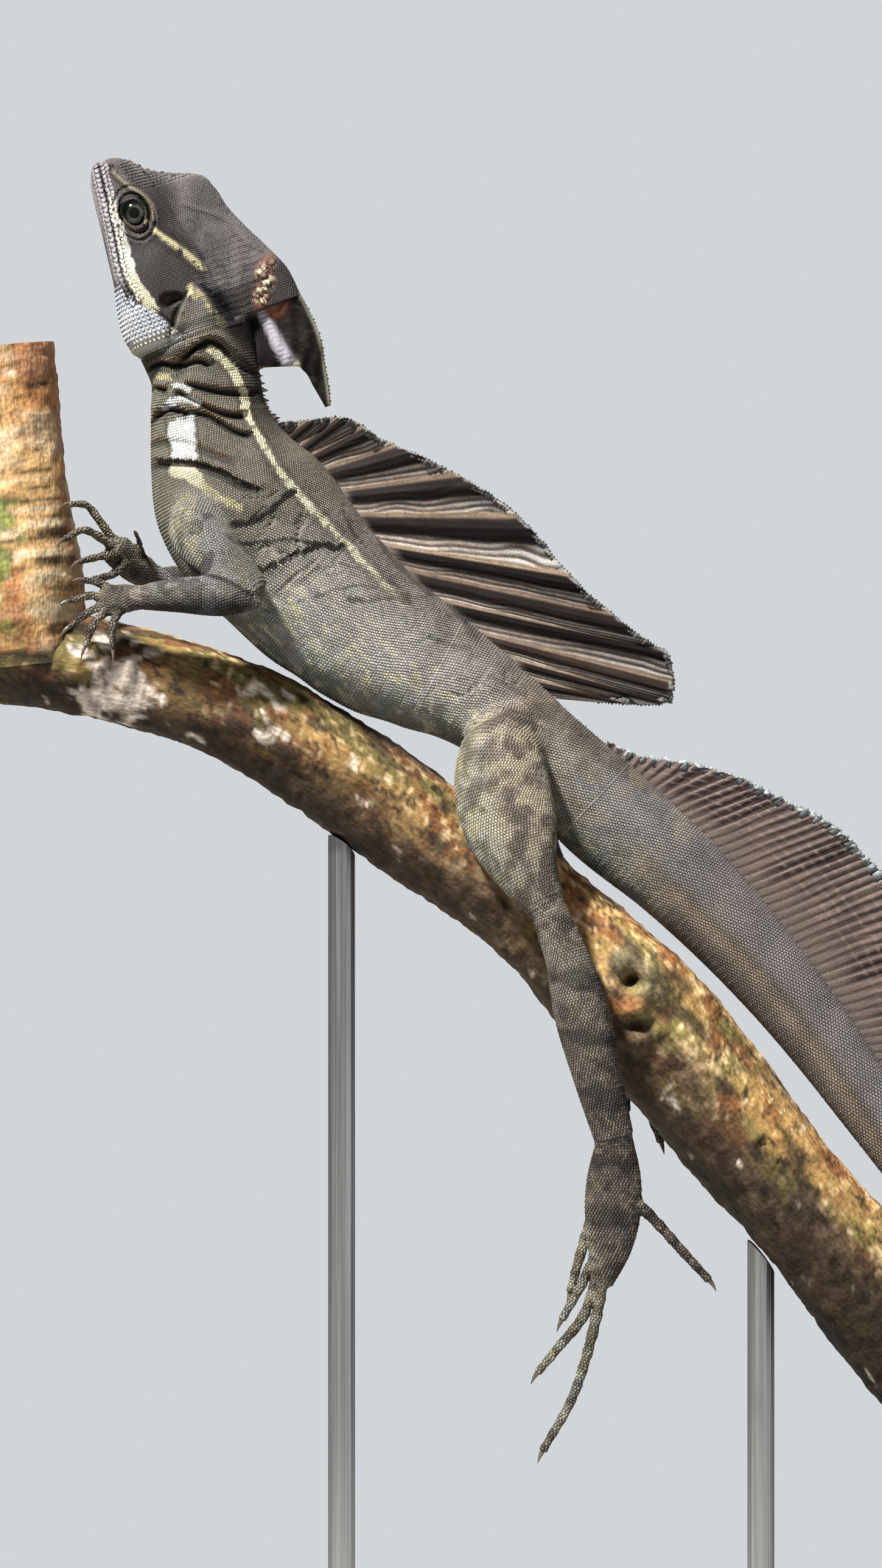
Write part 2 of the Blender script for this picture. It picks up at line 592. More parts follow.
def skull_width(u, v):
    """Half width of the skull and casque, u behind the snout and v above the head's axis."""
    cheek = line_at(CHEEK_WIDTH, u)
    crown = line_at(CROWN_LINE, u)
    brow = line_at(BROW_LINE, u)
    mouth = line_at(MOUTH_LINE, u)
    middle = mouth + 0.45 * (brow - mouth)
    t = (v - middle) / (np.minimum(crown, brow + 4.5) - middle)
    face = cheek * np.sqrt(np.clip(1.0 - np.clip(t, 0.0, None) ** 2.6, 0.0, 1.0))
    face *= 1.0 - 0.10 * np.clip(-t, 0.0, None) ** 2
    share = np.clip((v - brow) / np.maximum(crown - brow, 0.1), 0.0, 1.0)
    grow = np.clip((u - 4.0) / 9.0, 0.0, 1.0)
    casque = grow * (CASQUE_EDGE + CASQUE_ROOT * (1.0 - share) ** 1.5)
    top = np.clip((crown - v) / 2.4, 0.0, 1.0)
    casque *= np.sqrt(np.clip(1.0 - (1.0 - top) ** 2, 0.0, 1.0))
    lip = 0.5 * bell(v - mouth, 1.3, 1.1)
    brow_swell = 0.9 * bell(v - brow, -0.6, 1.6) * bell(u, 15.0, 8.0)
    hollow = 2.6 * blob(u, v, (58.0, 21.0), (8.0, 4.5))
    return np.maximum(face, casque) + lip * np.minimum(1.0, u / 4.0) + brow_swell - hollow


POSTOCULAR = ((22.8, 8.0), (27.0, 9.9), (31.6, 13.2), (36.1, 16.2), (40.8, 18.8))
CANTHUS = ((5.2, 3.6), (10.0, 6.2), (14.1, 9.3), (18.5, 11.0), (22.5, 10.2))
# Folds round the lids: height, place and width of each, in eye openings.
LID_FOLDS = ((-0.50, 1.62, 0.12), (0.55, 1.88, 0.17), (-0.40, 2.18, 0.13), (0.25, 2.42, 0.15))
NOSTRIL_PLACE = (3.6, 3.7)
NOSTRIL_SIZE = (1.1, 0.75)
EAR_PLACE = (46.6, 6.6)
EAR_SIZE = (2.3, 3.6)
LAPPET_FRONT = ((44.4, 15.0), (50.0, 8.6), (56.4, 4.2), (62.0, 2.0))
LAPPET_BACK = ((44.4, 15.0), (50.5, 17.5), (56.5, 19.6), (62.0, 21.0))
POUCH_TOP = ((36.0, -6.4), (40.0, -4.6), (44.0, -2.9), (47.0, 0.2), (52.0, 3.4), (57.0, 6.0))
CASQUE_RIDGE = ((20.6, 19.7), (23.0, 23.1), (27.5, 28.7), (33.3, 31.0), (38.4, 33.4))
SCAR = ((44.5, 37.6), (47.0, 35.0), (50.0, 35.4), (52.5, 32.6), (56.0, 31.5))


def lappet(u, v):
    """How far points lie on the three-cornered fold of skin behind the ear, and off its two edges."""
    front = v - line_at(LAPPET_FRONT, u)
    back = line_at(LAPPET_BACK, u) - v
    on = step_up(front, -0.5, 0.7) * step_up(back, -0.5, 0.7) * step_up(u, 43.8, 45.6)
    return on, front, back


def oval(u, v, place, size):
    """Distance from a place on the head, in units of its sizes along and up the head."""
    return np.hypot((u - place[0]) / size[0], (v - place[1]) / size[1])


def head_width(u, v):
    """Half width of the whole head with lips, nostrils, lids, ear openings and wrinkles."""
    mouth = line_at(MOUTH_LINE, u)
    throat = line_at(THROAT_LINE, u)
    upper = skull_width(u, np.maximum(v, mouth))
    drop = np.clip((mouth - v) / np.maximum(mouth - throat, 0.1), 0.0, 1.0)
    w = upper * np.clip(1.0 - drop ** 2.5, 0.0, 1.0) ** 0.375
    front = step_up(u, 0.3, 1.6)
    gape = front * step_down(u, 43.5, 45.5)
    w -= 0.75 * gape * bell(v - mouth, 0.0, 0.42)
    w += 0.25 * gape * bell(v - mouth, -1.3, 0.7)
    w += 0.30 * gape * bell(v - mouth, 1.1, 0.7)
    eye = oval(u, v, EYE_PLACE, EYE_OPENING)
    w -= 3.0 * step_down(eye, 0.78, 1.02)
    upper_lid = 1.15 + 0.55 * np.clip((v - EYE_PLACE[1]) / 4.0, -0.4, 1.0)
    w += upper_lid * bell(eye, 1.20, 0.19)
    for height, middle, width in LID_FOLDS:
        w += height * bell(eye, middle, width)
    nostril = oval(u, v, NOSTRIL_PLACE, NOSTRIL_SIZE)
    w -= 1.3 * bell(nostril, 0.0, 0.8)
    w += 0.35 * bell(nostril, 1.6, 0.5)
    ear = oval(u, v, EAR_PLACE, EAR_SIZE)
    ear += 0.12 * np.sin(3.0 * np.arctan2(v - EAR_PLACE[1], u - EAR_PLACE[0]))
    w -= 2.3 * step_down(ear, 0.45, 1.15)
    on, before, after = lappet(u, v)
    fade = step_up(u, 44.6, 47.5) * step_down(u, 54.0, 56.8)
    w += 1.1 * on * fade * (0.5 + 0.5 * bell(before, 0.0, 3.0))
    w -= 0.9 * fade * bell(before, -1.1, 0.8)
    w -= 1.3 * fade * bell(after, -1.4, 1.1)
    for line, width, height in ((POSTOCULAR, 0.9, 0.75), (CANTHUS, 0.9, 0.6), (CASQUE_RIDGE, 0.8, 0.4)):
        d, _ = off_line(u, v, line)
        w += height * bell(d, 0.0, width)
    w += 0.9 * blob(u, v, (36.0, 7.0), (8.0, 6.0))
    d, t = off_line(u, v, SCAR)
    w += 0.9 * bell(d, 0.0, 2.0) * (0.5 + 0.5 * np.sin(31.0 * t) * np.sin(2.1 * v))
    temple = step_up(u, 30.0, 40.0) * step_up(v, 12.0, 18.0) * step_down(v, 33.0, 38.0)
    w += 0.09 * temple * np.sin(3.4 * u + 0.7 * np.sin(0.9 * v))
    over_pouch = v - line_at(POUCH_TOP, u)
    w += 0.9 * step_down(over_pouch, -1.6, 0.2) * step_up(u, 42.0, 48.0) * step_down(u, 54.0, 57.0)
    w -= 0.5 * bell(over_pouch, 0.5, 0.6) * step_up(u, 46.0, 48.0)
    return np.maximum(w, 0.0)


def spine_frames(s):
    """Centre, direction, dorsal direction, width direction, half depth and half width for each s."""
    rows = rows_at(SPINE_TABLE, s)
    ahead = rows_at(SPINE_TABLE, np.minimum(s + 0.5, SPINE_LENGTH))[:, :3]
    behind = rows_at(SPINE_TABLE, np.maximum(s - 0.5, 0.0))[:, :3]
    tangent = unit(ahead - behind)
    lead = (np.clip(1.0 - s / 12.0, 0.0, 1.0) ** 2)[:, None]
    tangent = unit(lead * HEAD_BACK + (1.0 - lead) * tangent)
    dorsal = unit(np.cross(tangent, SIDE))
    return rows[:, :3], tangent, dorsal, np.cross(dorsal, tangent), rows[:, 3], rows[:, 4]


# Folds of the neck in the side view: x, z along each ridge, its height, its width, and how deep the
# crease under it is.
NECK_FOLDS = (
    (((-104.0, 546.5), (-98.6, 550.3), (-95.4, 553.0), (-91.1, 555.2), (-87.3, 554.1), (-84.2, 551.1),
      (-80.5, 547.6), (-76.0, 546.2), (-71.0, 547.0)), 1.7, 1.0, 2.3),
    (((-111.0, 546.4), (-105.8, 548.6), (-99.4, 548.0), (-93.6, 549.2), (-89.0, 547.0)), 0.9, 1.0, 1.2),
    (((-98.6, 542.9), (-92.5, 541.4), (-86.6, 540.4), (-79.0, 540.4), (-74.0, 542.0)), 0.9, 1.2, 1.3),
    (((-101.0, 540.6), (-96.3, 538.4), (-90.4, 535.3), (-84.6, 533.5), (-79.0, 533.5)), 1.0, 1.2, 1.4),
    (((-97.0, 534.4), (-92.0, 533.4), (-88.4, 531.8), (-82.8, 528.4), (-77.0, 527.0)), 0.9, 1.1, 1.3),
    (((-110.0, 530.9), (-107.0, 533.0), (-103.5, 535.0), (-99.4, 534.6), (-95.4, 533.0)), 1.0, 1.1, 1.2),
    (((-112.0, 540.6), (-107.0, 541.6), (-102.5, 540.4)), 0.7, 1.0, 1.0),
    (((-110.4, 519.6), (-100.0, 518.6), (-93.6, 518.0), (-86.4, 515.7), (-79.9, 512.1), (-72.0, 510.4)),
     0.7, 1.3, 1.0),
    (((-112.0, 525.4), (-103.0, 525.6), (-95.0, 524.4), (-88.0, 521.4), (-81.0, 519.0)), 0.4, 1.3, 0.5),
)


def neck_folds(x, z):
    """For each fold how far points lie over its ridge and along it, its height, width and crease."""
    for line, height, width, crease in NECK_FOLDS:
        d, t = off_line(x, z, line, 8.0)
        yield (d if line[-1][0] > line[0][0] else -d), t, height, width, crease


def fold_relief(x, z):
    """Height of the neck's folds over the plain skin, sharp on the lower edge of each ridge."""
    relief = np.zeros(len(x))
    for d, t, height, width, crease in neck_folds(x, z):
        fade = step_up(t, 0.0, 0.12) * step_down(t, 0.88, 1.0)
        ridge = np.exp(-(np.where(d > 0.0, d / (2.0 * width), d / (0.55 * width))) ** 2)
        under = bell(d + 1.5 * width, 0.0, 0.75 * width)
        relief += fade * (height * ridge - crease * under)
    return relief


def body_rings(places, count):
    """Sections across the spine, from the belly up the left side to the back and down the right."""
    s = np.asarray(places, dtype=float)
    center, _, dorsal, across, depth, width = spine_frames(s)
    narrow = (0.34 * np.clip((240.0 - s) / 90.0, 0.0, 1.0) + 0.06)[:, None]
    phase = np.linspace(0.0, FULL_TURN, count, endpoint=False)[None, :]
    lift = -np.cos(phase)
    out = np.sign(-np.sin(phase)) * np.abs(np.sin(phase)) ** 0.88
    out = out * (1.0 - narrow * (0.5 + 0.5 * lift) ** 2)
    end = np.clip((SPINE_LENGTH - s) / 2.0, 0.15, 1.0)
    depth = ((depth - INSET) * end)[:, None]
    width = ((width - INSET) * end)[:, None]
    points = (center[:, None, :] + (depth * lift)[..., None] * dorsal[:, None, :]
              + (width * out)[..., None] * across[:, None, :])
    flat = points.reshape(-1, 3)
    x, y, z = flat.T
    outward = unit((lift * np.ones_like(depth))[..., None] * dorsal[:, None, :]
                   + out[..., None] * across[:, None, :]).reshape(-1, 3)
    s_all = np.repeat(s, count)
    side = np.abs(np.tile(out[0], len(s)))
    amount = fold_relief(x, z) * step_up(side, 0.2, 0.6) * step_down(s_all, 52.0, 60.0)
    loose = step_up(s_all, 60.0, 75.0) * step_down(s_all, 150.0, 175.0)
    amount += loose * 1.1 * (speckle(flat * (1.0, 0.6, 1.0), 8.0, 5) - 0.5)
    slack = blob(x, z, (0.0, 446.0), (20.0, 12.0)) + blob(x, z, (-66.0, 494.0), (12.0, 16.0))
    creases = np.abs(speckle(np.column_stack((0.55 * (x + z), 0.4 * y, x - z)), 6.0, 6) - 0.5)
    amount -= slack * side * 1.3 * bell(creases, 0.0, 0.06)
    amount += slack * side * 2.0 * (speckle(flat, 4.0, 8) - 0.5)
    return (flat + amount[:, None] * outward).reshape(points.shape)


def head_rings(places, count):
    """Sections across the head's axis, from the throat up the left side to the crown and down."""
    u = np.asarray(places, dtype=float)[:, None]
    half = count // 2
    k = np.arange(half + 1)[None, :]
    crown = line_at(CROWN_LINE, u)
    throat = line_at(THROAT_LINE, u)
    even = (1.0 - np.cos(0.7 * math.pi * k / half)) / (1.0 - math.cos(0.7 * math.pi))
    low_count = int(0.74 * half)
    rise = 0.5 * (1.0 - np.cos(math.pi * np.minimum(k, low_count) / low_count))
    low = (NECK_TOP - throat) / (crown - throat) * rise
    high = (crown - NECK_TOP) / (crown - throat) * np.clip((k - low_count) / (half - low_count), 0.0, 1.0)
    blend = step_up(u, 38.0, 56.0)
    share = even * (1.0 - blend) + (low + high) * blend
    v = throat + (crown - throat) * share
    taper = np.where(u < 1.6, 0.35 + 0.65 * np.sqrt(np.clip(1.0 - (1.0 - u / 1.6) ** 2, 0.0, 1.0)), 1.0)
    w = head_width(np.broadcast_to(u, v.shape), v) - INSET
    w = np.where((k == 0) | (k == half), 0.0, np.maximum(w, 0.05)) * taper
    middle = 0.5 * (crown + throat)
    v = middle + (v - middle) * (0.5 + 0.5 * taper)
    v = np.clip(v, throat + 0.25, crown - 0.25)
    left = from_head(u[..., None], v[..., None], -w[..., None])
    right = left * (1.0, -1.0, 1.0)
    return np.concatenate((left, right[:, half - 1:0:-1]), axis=1), low_count


def zip_rings(first_a, count_a, first_b, count_b):
    """Triangles between two closed rings of differing counts."""
    tris = []
    i = 0
    j = 0
    while i < count_a or j < count_b:
        if j == count_b or (i < count_a and (i + 1) / count_a <= (j + 1) / count_b):
            tris.append((first_a + i % count_a, first_a + (i + 1) % count_a, first_b + j % count_b))
            i += 1
        else:
            tris.append((first_a + i % count_a, first_b + (j + 1) % count_b, first_b + j % count_b))
            j += 1
    return tris


HEAD_COUNT = 280
HEAD_PLACES = np.concatenate(([0.0, 0.15, 0.45, 0.85], np.linspace(1.3, 57.0, 106)))
head_part, low_count = head_rings(HEAD_PLACES, HEAD_COUNT)
NECK_COUNT = 2 * low_count
neck_part = body_rings(np.linspace(1.6, 50.0, 74), NECK_COUNT)
trunk_part = body_rings(np.linspace(50.9, 186.0, 142), 104)
root_part = body_rings(np.linspace(187.4, 300.0, 76), 60)
TAIL_COUNT = 32
tail_places = (*np.linspace(301.6, SPINE_LENGTH - 2.0, 190), SPINE_LENGTH - 1.0, SPINE_LENGTH)
tail_part = body_rings(tail_places, TAIL_COUNT)
parts = (head_part, neck_part, trunk_part, root_part, tail_part)
firsts = np.cumsum([0] + [p.shape[0] * p.shape[1] for p in parts])
points = np.concatenate([p.reshape(-1, 3) for p in parts])
quads = [grid_quads(p.shape[0], p.shape[1], f) for p, f in zip(parts, firsts)]
tris = []
last_head = (len(HEAD_PLACES) - 1) * HEAD_COUNT
first_neck = firsts[1]
for k in range(low_count):
    tris.append((last_head + k, last_head + k + 1, first_neck + k + 1))
    tris.append((last_head + k, first_neck + k + 1, first_neck + k))
    a = last_head + (HEAD_COUNT - k) % HEAD_COUNT
    b = last_head + HEAD_COUNT - k - 1
    c = first_neck + (NECK_COUNT - k) % NECK_COUNT
    d = first_neck + NECK_COUNT - k - 1
    tris.append((b, a, c))
    tris.append((b, c, d))
for k in range(low_count, HEAD_COUNT - low_count):
    tris.append((last_head + k, last_head + k + 1, first_neck + low_count))
for p, f, q, g in zip(parts[1:-1], firsts[1:], parts[2:], firsts[2:]):
    tris += zip_rings(f + (p.shape[0] - 1) * p.shape[1], p.shape[1], g, q.shape[1])
snout_middle = len(points)
points = np.concatenate((points, head_part[:1].mean(axis=1), tail_part[-1:].mean(axis=1)))
for j in range(HEAD_COUNT):
    tris.append(((j + 1) % HEAD_COUNT, j, snout_middle))
end = firsts[5] - TAIL_COUNT
for j in range(TAIL_COUNT):
    tris.append((end + j, end + (j + 1) % TAIL_COUNT, snout_middle + 1))
skin = new_piece("hide", points, *faced_outward(points, np.concatenate(quads), np.array(tris)))

LIMBS = {
    "upper_arm_left": ((-90.0, -9.0, 506.0, 9.5, 6.0), (-94.0, -16.0, 499.0, 9.0, 7.0),
                       (-86.0, -22.0, 488.0, 7.6, 6.6), (-78.0, -26.0, 480.2, 5.6, 5.2)),
    "forearm_left": ((-77.4, -26.4, 478.4, 4.6, 4.4), (-86.0, -27.0, 478.4, 6.2, 5.6),
                     (-99.0, -26.0, 478.4, 5.2, 4.6), (-110.0, -23.6, 477.9, 3.8, 3.4)),
    "upper_arm_right": ((-90.0, 9.0, 506.0, 9.5, 6.0), (-95.0, 16.0, 499.0, 9.0, 7.0),
                        (-88.0, 22.0, 489.0, 7.6, 6.6), (-80.0, 25.0, 482.5, 6.2, 5.6)),
    "forearm_right": ((-79.0, 25.2, 482.0, 5.2, 4.8), (-88.0, 23.0, 483.0, 6.0, 5.6),
                      (-98.0, 17.0, 484.0, 5.0, 4.6), (-107.0, 9.6, 484.2, 3.8, 3.4)),
    "thigh_left": ((2.0, -5.0, 440.0, 11.0, 7.0), (-3.6, -13.0, 434.0, 12.8, 9.0),
                   (-4.7, -18.0, 423.0, 14.2, 9.6), (-1.6, -22.5, 409.0, 13.4, 9.4),
                   (2.6, -25.0, 398.0, 9.6, 7.6), (7.6, -26.0, 388.6, 6.2, 6.0)),
    "shank_left": ((7.6, -26.2, 389.4, 5.4, 5.4), (13.5, -27.0, 374.4, 6.4, 6.0),
                   (18.4, -28.0, 356.4, 8.2, 7.0), (22.9, -28.5, 338.4, 7.2, 6.0),
                   (27.6, -28.5, 321.0, 6.0, 4.6)),
    "thigh_right": ((2.0, 5.0, 440.0, 11.0, 7.0), (-2.0, 13.0, 434.0, 12.0, 9.0),
                    (-3.0, 20.0, 424.0, 12.0, 9.4), (1.0, 25.5, 412.0, 10.0, 8.0),
                    (8.0, 28.5, 402.0, 6.4, 6.0)),
    "shank_right": ((7.4, 28.4, 402.4, 5.6, 5.4), (14.0, 29.0, 390.0, 6.8, 6.2),
                    (20.0, 29.5, 377.0, 6.8, 6.0), (27.0, 29.5, 362.0, 5.0, 4.6)),
    "hand_left": ((-110.6, -23.4, 477.8, 3.6, 3.2), (-115.0, -21.4, 477.6, 4.4, 3.0),
                  (-121.0, -19.0, 476.8, 4.2, 2.6)),
    "hand_right": ((-107.6, 9.2, 484.2, 3.8, 3.4), (-112.6, 4.6, 487.6, 5.2, 3.4),
                   (-118.6, -1.0, 492.6, 5.0, 2.8)),
    "foot_left": ((28.0, -28.4, 319.6, 5.6, 4.2), (27.8, -28.2, 309.0, 8.0, 3.8),
                  (27.4, -28.0, 299.0, 8.4, 3.4), (26.4, -27.6, 288.0, 6.6, 3.0),
                  (24.6, -27.2, 279.0, 3.6, 2.4)),
    "foot_right": ((27.4, 29.4, 361.0, 4.8, 4.2), (32.0, 29.0, 352.0, 6.0, 3.6),
                   (38.0, 27.6, 343.0, 6.4, 3.2), (44.0, 26.0, 335.0, 5.0, 2.8)),
}
DIGITS = {
    "hand_left": (1.5, (
        ((-117.0, -20.0, 479.0), (-122.0, -19.0, 482.0), (-127.0, -22.0, 483.0)),
        ((-119.0, -19.0, 478.0), (-125.0, -20.0, 478.5), (-131.0, -21.6, 477.0)),
        ((-119.0, -19.0, 476.5), (-125.0, -20.4, 474.0), (-131.0, -22.0, 469.5)),
        ((-118.5, -19.5, 475.5), (-123.5, -21.0, 471.0), (-126.5, -20.8, 464.0)),
        ((-116.0, -20.5, 475.0), (-118.5, -21.6, 470.0), (-118.5, -20.4, 463.5)))),
    "hand_right": (1.5, (
        ((-112.0, 4.0, 490.0), (-111.4, 1.0, 494.0), (-112.4, -2.0, 496.6)),
        ((-119.0, -1.6, 495.0), (-123.0, -4.4, 500.6), (-126.8, -7.0, 505.4), (-131.6, -12.5, 505.6)),
        ((-119.0, -2.6, 493.0), (-123.6, -7.0, 496.4), (-127.4, -11.5, 498.0), (-133.0, -18.0, 495.0)),
        ((-118.6, -2.8, 491.0), (-122.6, -9.0, 490.4), (-128.4, -15.5, 488.6)),
        ((-116.0, -0.6, 488.4), (-119.6, -7.0, 485.0), (-124.6, -14.5, 483.6)))),
    "foot_left": (1.9, (
        ((21.6, -27.6, 298.0), (17.6, -27.0, 285.0), (15.2, -26.6, 276.0)),
        ((22.6, -27.4, 286.0), (18.0, -27.0, 277.0), (13.0, -26.0, 268.0)),
        ((23.6, -27.4, 283.0), (18.9, -27.6, 268.6), (11.0, -27.0, 258.6), (6.0, -26.0, 252.4)),
        ((25.2, -27.4, 282.0), (21.1, -28.4, 261.9), (15.5, -28.0, 244.4), (7.4, -26.6, 229.8)),
        ((33.0, -28.0, 303.0), (40.0, -28.4, 296.0), (48.0, -27.6, 287.0), (55.0, -26.6, 279.4)))),
    "foot_right": (1.9, (
        ((34.0, 28.0, 344.0), (33.0, 26.6, 334.0), (33.0, 24.0, 326.0)),
        ((39.0, 27.4, 338.0), (40.0, 25.0, 326.0), (43.0, 20.0, 317.0)),
        ((41.0, 26.6, 338.0), (48.0, 24.8, 325.0), (54.0, 22.4, 313.0), (58.0, 18.4, 305.0)),
        ((42.0, 26.6, 338.0), (54.0, 25.2, 326.0), (66.0, 23.4, 312.0), (77.0, 21.2, 300.0)),
        ((36.0, 28.2, 350.0), (46.0, 26.6, 350.0), (55.0, 23.4, 348.0)))),
}


KNUCKLE_SPACING = 5.2


def limb_rings(keys, step, sides, inset=INSET, caps=True, knuckle=0.0):
    """Sections of a limb or digit with round ends; keys end in radii in and across the side view."""
    table = with_distance(keys)
    places = np.linspace(0.0, table[-1, 0], max(5, int(table[-1, 0] / step) + 1))
    rows = rows_at(table, places)
    tangent = unit(np.gradient(rows[:, :3], axis=0))
    across = SIDE - tangent * tangent[:, 1:2]
    weak = np.linalg.norm(across, axis=1) < 0.2
    across[weak] = (HEAD_BACK - tangent * (tangent @ HEAD_BACK)[:, None])[weak]
    across = unit(across)
    inplane = np.cross(tangent, across)
    center = rows[:, :3]
    swell = 1.0 + knuckle * np.cos(FULL_TURN * (table[-1, 0] - places) / KNUCKLE_SPACING)
    radii = np.maximum(rows[:, 3:5] * swell[:, None] - inset, 0.15)
    if caps:
        turn = np.radians([78.0, 58.0, 38.0, 18.0])
        reach = radii.mean(axis=1)
        first = center[0] - np.sin(turn)[:, None] * 0.8 * reach[0] * tangent[0]
        last = center[-1] + np.sin(turn[::-1])[:, None] * 0.8 * reach[-1] * tangent[-1]
        center = np.concatenate((first, center, last))
        radii = np.concatenate((np.cos(turn)[:, None] * radii[:1], radii,
                                np.cos(turn[::-1])[:, None] * radii[-1:]))
        inplane, across = (np.concatenate((np.repeat(way[:1], 4, 0), way, np.repeat(way[-1:], 4, 0)))
                           for way in (inplane, across))
    a = np.linspace(0.0, FULL_TURN, sides, endpoint=False)[None, :, None]
    return (center[:, None, :] + radii[:, None, 0:1] * np.cos(a) * inplane[:, None, :]
            + radii[:, None, 1:2] * np.sin(a) * across[:, None, :])


def digit_rings(line, radius, step, sides):
    """Sections of a finger or toe with its knuckles."""
    return limb_rings(digit_keys(line, radius), step, sides, 0.2, True, 0.07)


def digit_keys(points, radius):
    """A finger or toe that thins towards its tip."""
    path = np.asarray(points, dtype=float)
    share = np.arange(len(path)) / (len(path) - 1)
    r = radius * (1.0 - 0.35 * share)
    return np.column_stack((path, r, r))


sources = [points[:snout_middle]]
for side in ("left", "right"):
    for chain in (("upper_arm_", "forearm_", "hand_"), ("thigh_", "shank_", "foot_")):
        limb = None
        for piece in chain:
            thick = piece in ("thigh_", "upper_arm_")
            rings = limb_rings(LIMBS[piece + side], 1.5 if thick else 1.3, 40 if thick else 30)
            sources.append(rings.reshape(-1, 3))
            solid = ring_body(piece + side + "_flesh", rings)
            if limb is None:
                limb = solid
            else:
                merge_solids(limb, solid)
        radius, digits = DIGITS[chain[2] + side]
        for line in digits:
            rings = digit_rings(line, radius, 1.0, 14)
            sources.append(rings.reshape(-1, 3))
            merge_solids(limb, ring_body("digit", rings))
        merge_solids(skin, limb)
sources = np.concatenate(sources)

# The joins between limbs and trunk are softened: vertices near a join move towards their neighbours.
points = points_of(skin)
source_tree = search_tree(sources)
is_join = np.array([source_tree.find(p)[2] > 0.02 for p in points])
join_tree = search_tree(points[is_join])
to_join = np.array([join_tree.find(p)[2] for p in points])
big_joint = np.zeros(len(points))
for x, z, size in ((-88.0, 498.0, 26.0), (0.0, 428.0, 34.0)):
    big_joint = np.maximum(big_joint, bell(np.hypot(points[:, 0] - x, points[:, 2] - z), 0.0, size, 4))
weight = step_down(to_join / (1.3 + 5.5 * big_joint), 0.0, 1.0)
edges = np.empty(2 * len(skin.data.edges), dtype=np.int32)
skin.data.edges.foreach_get("vertices", edges)
edges = edges.reshape(-1, 2)
both = np.concatenate((edges, edges[:, ::-1]))
degree = np.maximum(np.bincount(both[:, 0], minlength=len(points)), 1)[:, None]
for _ in range(36):
    total = np.column_stack([np.bincount(both[:, 0], points[both[:, 1], k], len(points))
                             for k in range(3)])
    points += (weight[:, None] * 0.6) * (total / degree - points)
skin.data.vertices.foreach_set("co", (points * MM).astype(np.float32).ravel())
skin.data.update()

# Markings of the hide: brown above, pale below, a cream lip, a beaded yellow stripe behind the eye,
# one along the side of the neck and trunk, dark bars on the shoulder and bands on limbs and tail.
TONES = {
    "back": (0.150, 0.130, 0.118), "flank": (0.246, 0.230, 0.222), "belly": (0.235, 0.245, 0.210),
    "face": (0.033, 0.028, 0.029), "snout": (0.085, 0.076, 0.073), "casque": (0.088, 0.079, 0.082),
    "cream": (0.500, 0.465, 0.320), "white": (0.560, 0.580, 0.570), "yellow": (0.380, 0.345, 0.190),
    "dark": (0.010, 0.008, 0.007), "rust": (0.200, 0.110, 0.050), "throat": (0.300, 0.320, 0.370),
    "neck": (0.092, 0.083, 0.062), "scar": (0.200, 0.080, 0.050), "limb": (0.180, 0.168, 0.142),
    "tail": (0.090, 0.075, 0.067), "thigh": (0.225, 0.192, 0.150), "digit": (0.064, 0.051, 0.048),
    "hip": (0.290, 0.240, 0.160), "lilac": (0.215, 0.200, 0.208), "web": (0.006, 0.005, 0.006),
    "lip": (0.190, 0.175, 0.190),
}
# Markings in the side view, each with its line in x and z. Dark bars have a half width and a strength,
# pale marks a half width, a colour and a strength.
DARK_BARS = (
    (((-64.6, 510.0), (-68.0, 508.0), (-73.8, 502.6), (-78.3, 500.2), (-86.0, 499.3)), 1.15, 1.0),
    (((-50.2, 494.6), (-53.4, 492.4), (-57.0, 493.6), (-66.6, 489.9), (-73.0, 487.0), (-79.0, 485.6)),
     1.05, 1.0),
    (((-57.0, 493.6), (-68.4, 495.0), (-79.9, 493.7), (-86.0, 494.4)), 0.65, 0.9),
    (((-109.0, 519.4), (-100.0, 518.4), (-93.6, 517.6), (-86.4, 515.2), (-79.9, 511.6), (-74.0, 509.6)),
     0.55, 1.0),
    (((-52.0, 507.0), (-50.0, 500.0), (-44.0, 492.0)), 0.5, 0.5),
    (((-76.0, 473.6), (-63.0, 477.4), (-52.2, 480.6), (-45.0, 481.5), (-28.8, 477.9)), 0.45, 0.55),
    (((-60.0, 486.0), (-52.0, 488.0), (-40.0, 484.0), (-30.0, 478.0)), 0.5, 0.4),
    (((-42.0, 497.0), (-34.0, 487.0), (-24.0, 478.0)), 1.2, 0.45),
    (((-30.0, 489.0), (-22.0, 479.0), (-14.0, 470.0)), 1.1, 0.4),
    (((-51.0, 478.4), (-45.0, 477.0), (-38.0, 478.2), (-30.0, 476.4)), 0.8, 0.6),
    (((-27.0, 467.0), (-20.0, 464.4), (-13.0, 463.0)), 0.8, 0.5),
    (((-9.0, 455.4), (-3.0, 452.4), (3.0, 449.4)), 0.9, 0.5),
)
SIDE_STRIPE = ((-90.0, 551.0), (-85.3, 547.2), (-80.6, 538.2), (-79.6, 532.1), (-73.1, 520.4),
               (-67.5, 512.1), (-59.2, 503.1), (-52.4, 496.3), (-45.5, 488.7), (-37.8, 480.6),
               (-30.0, 472.0))
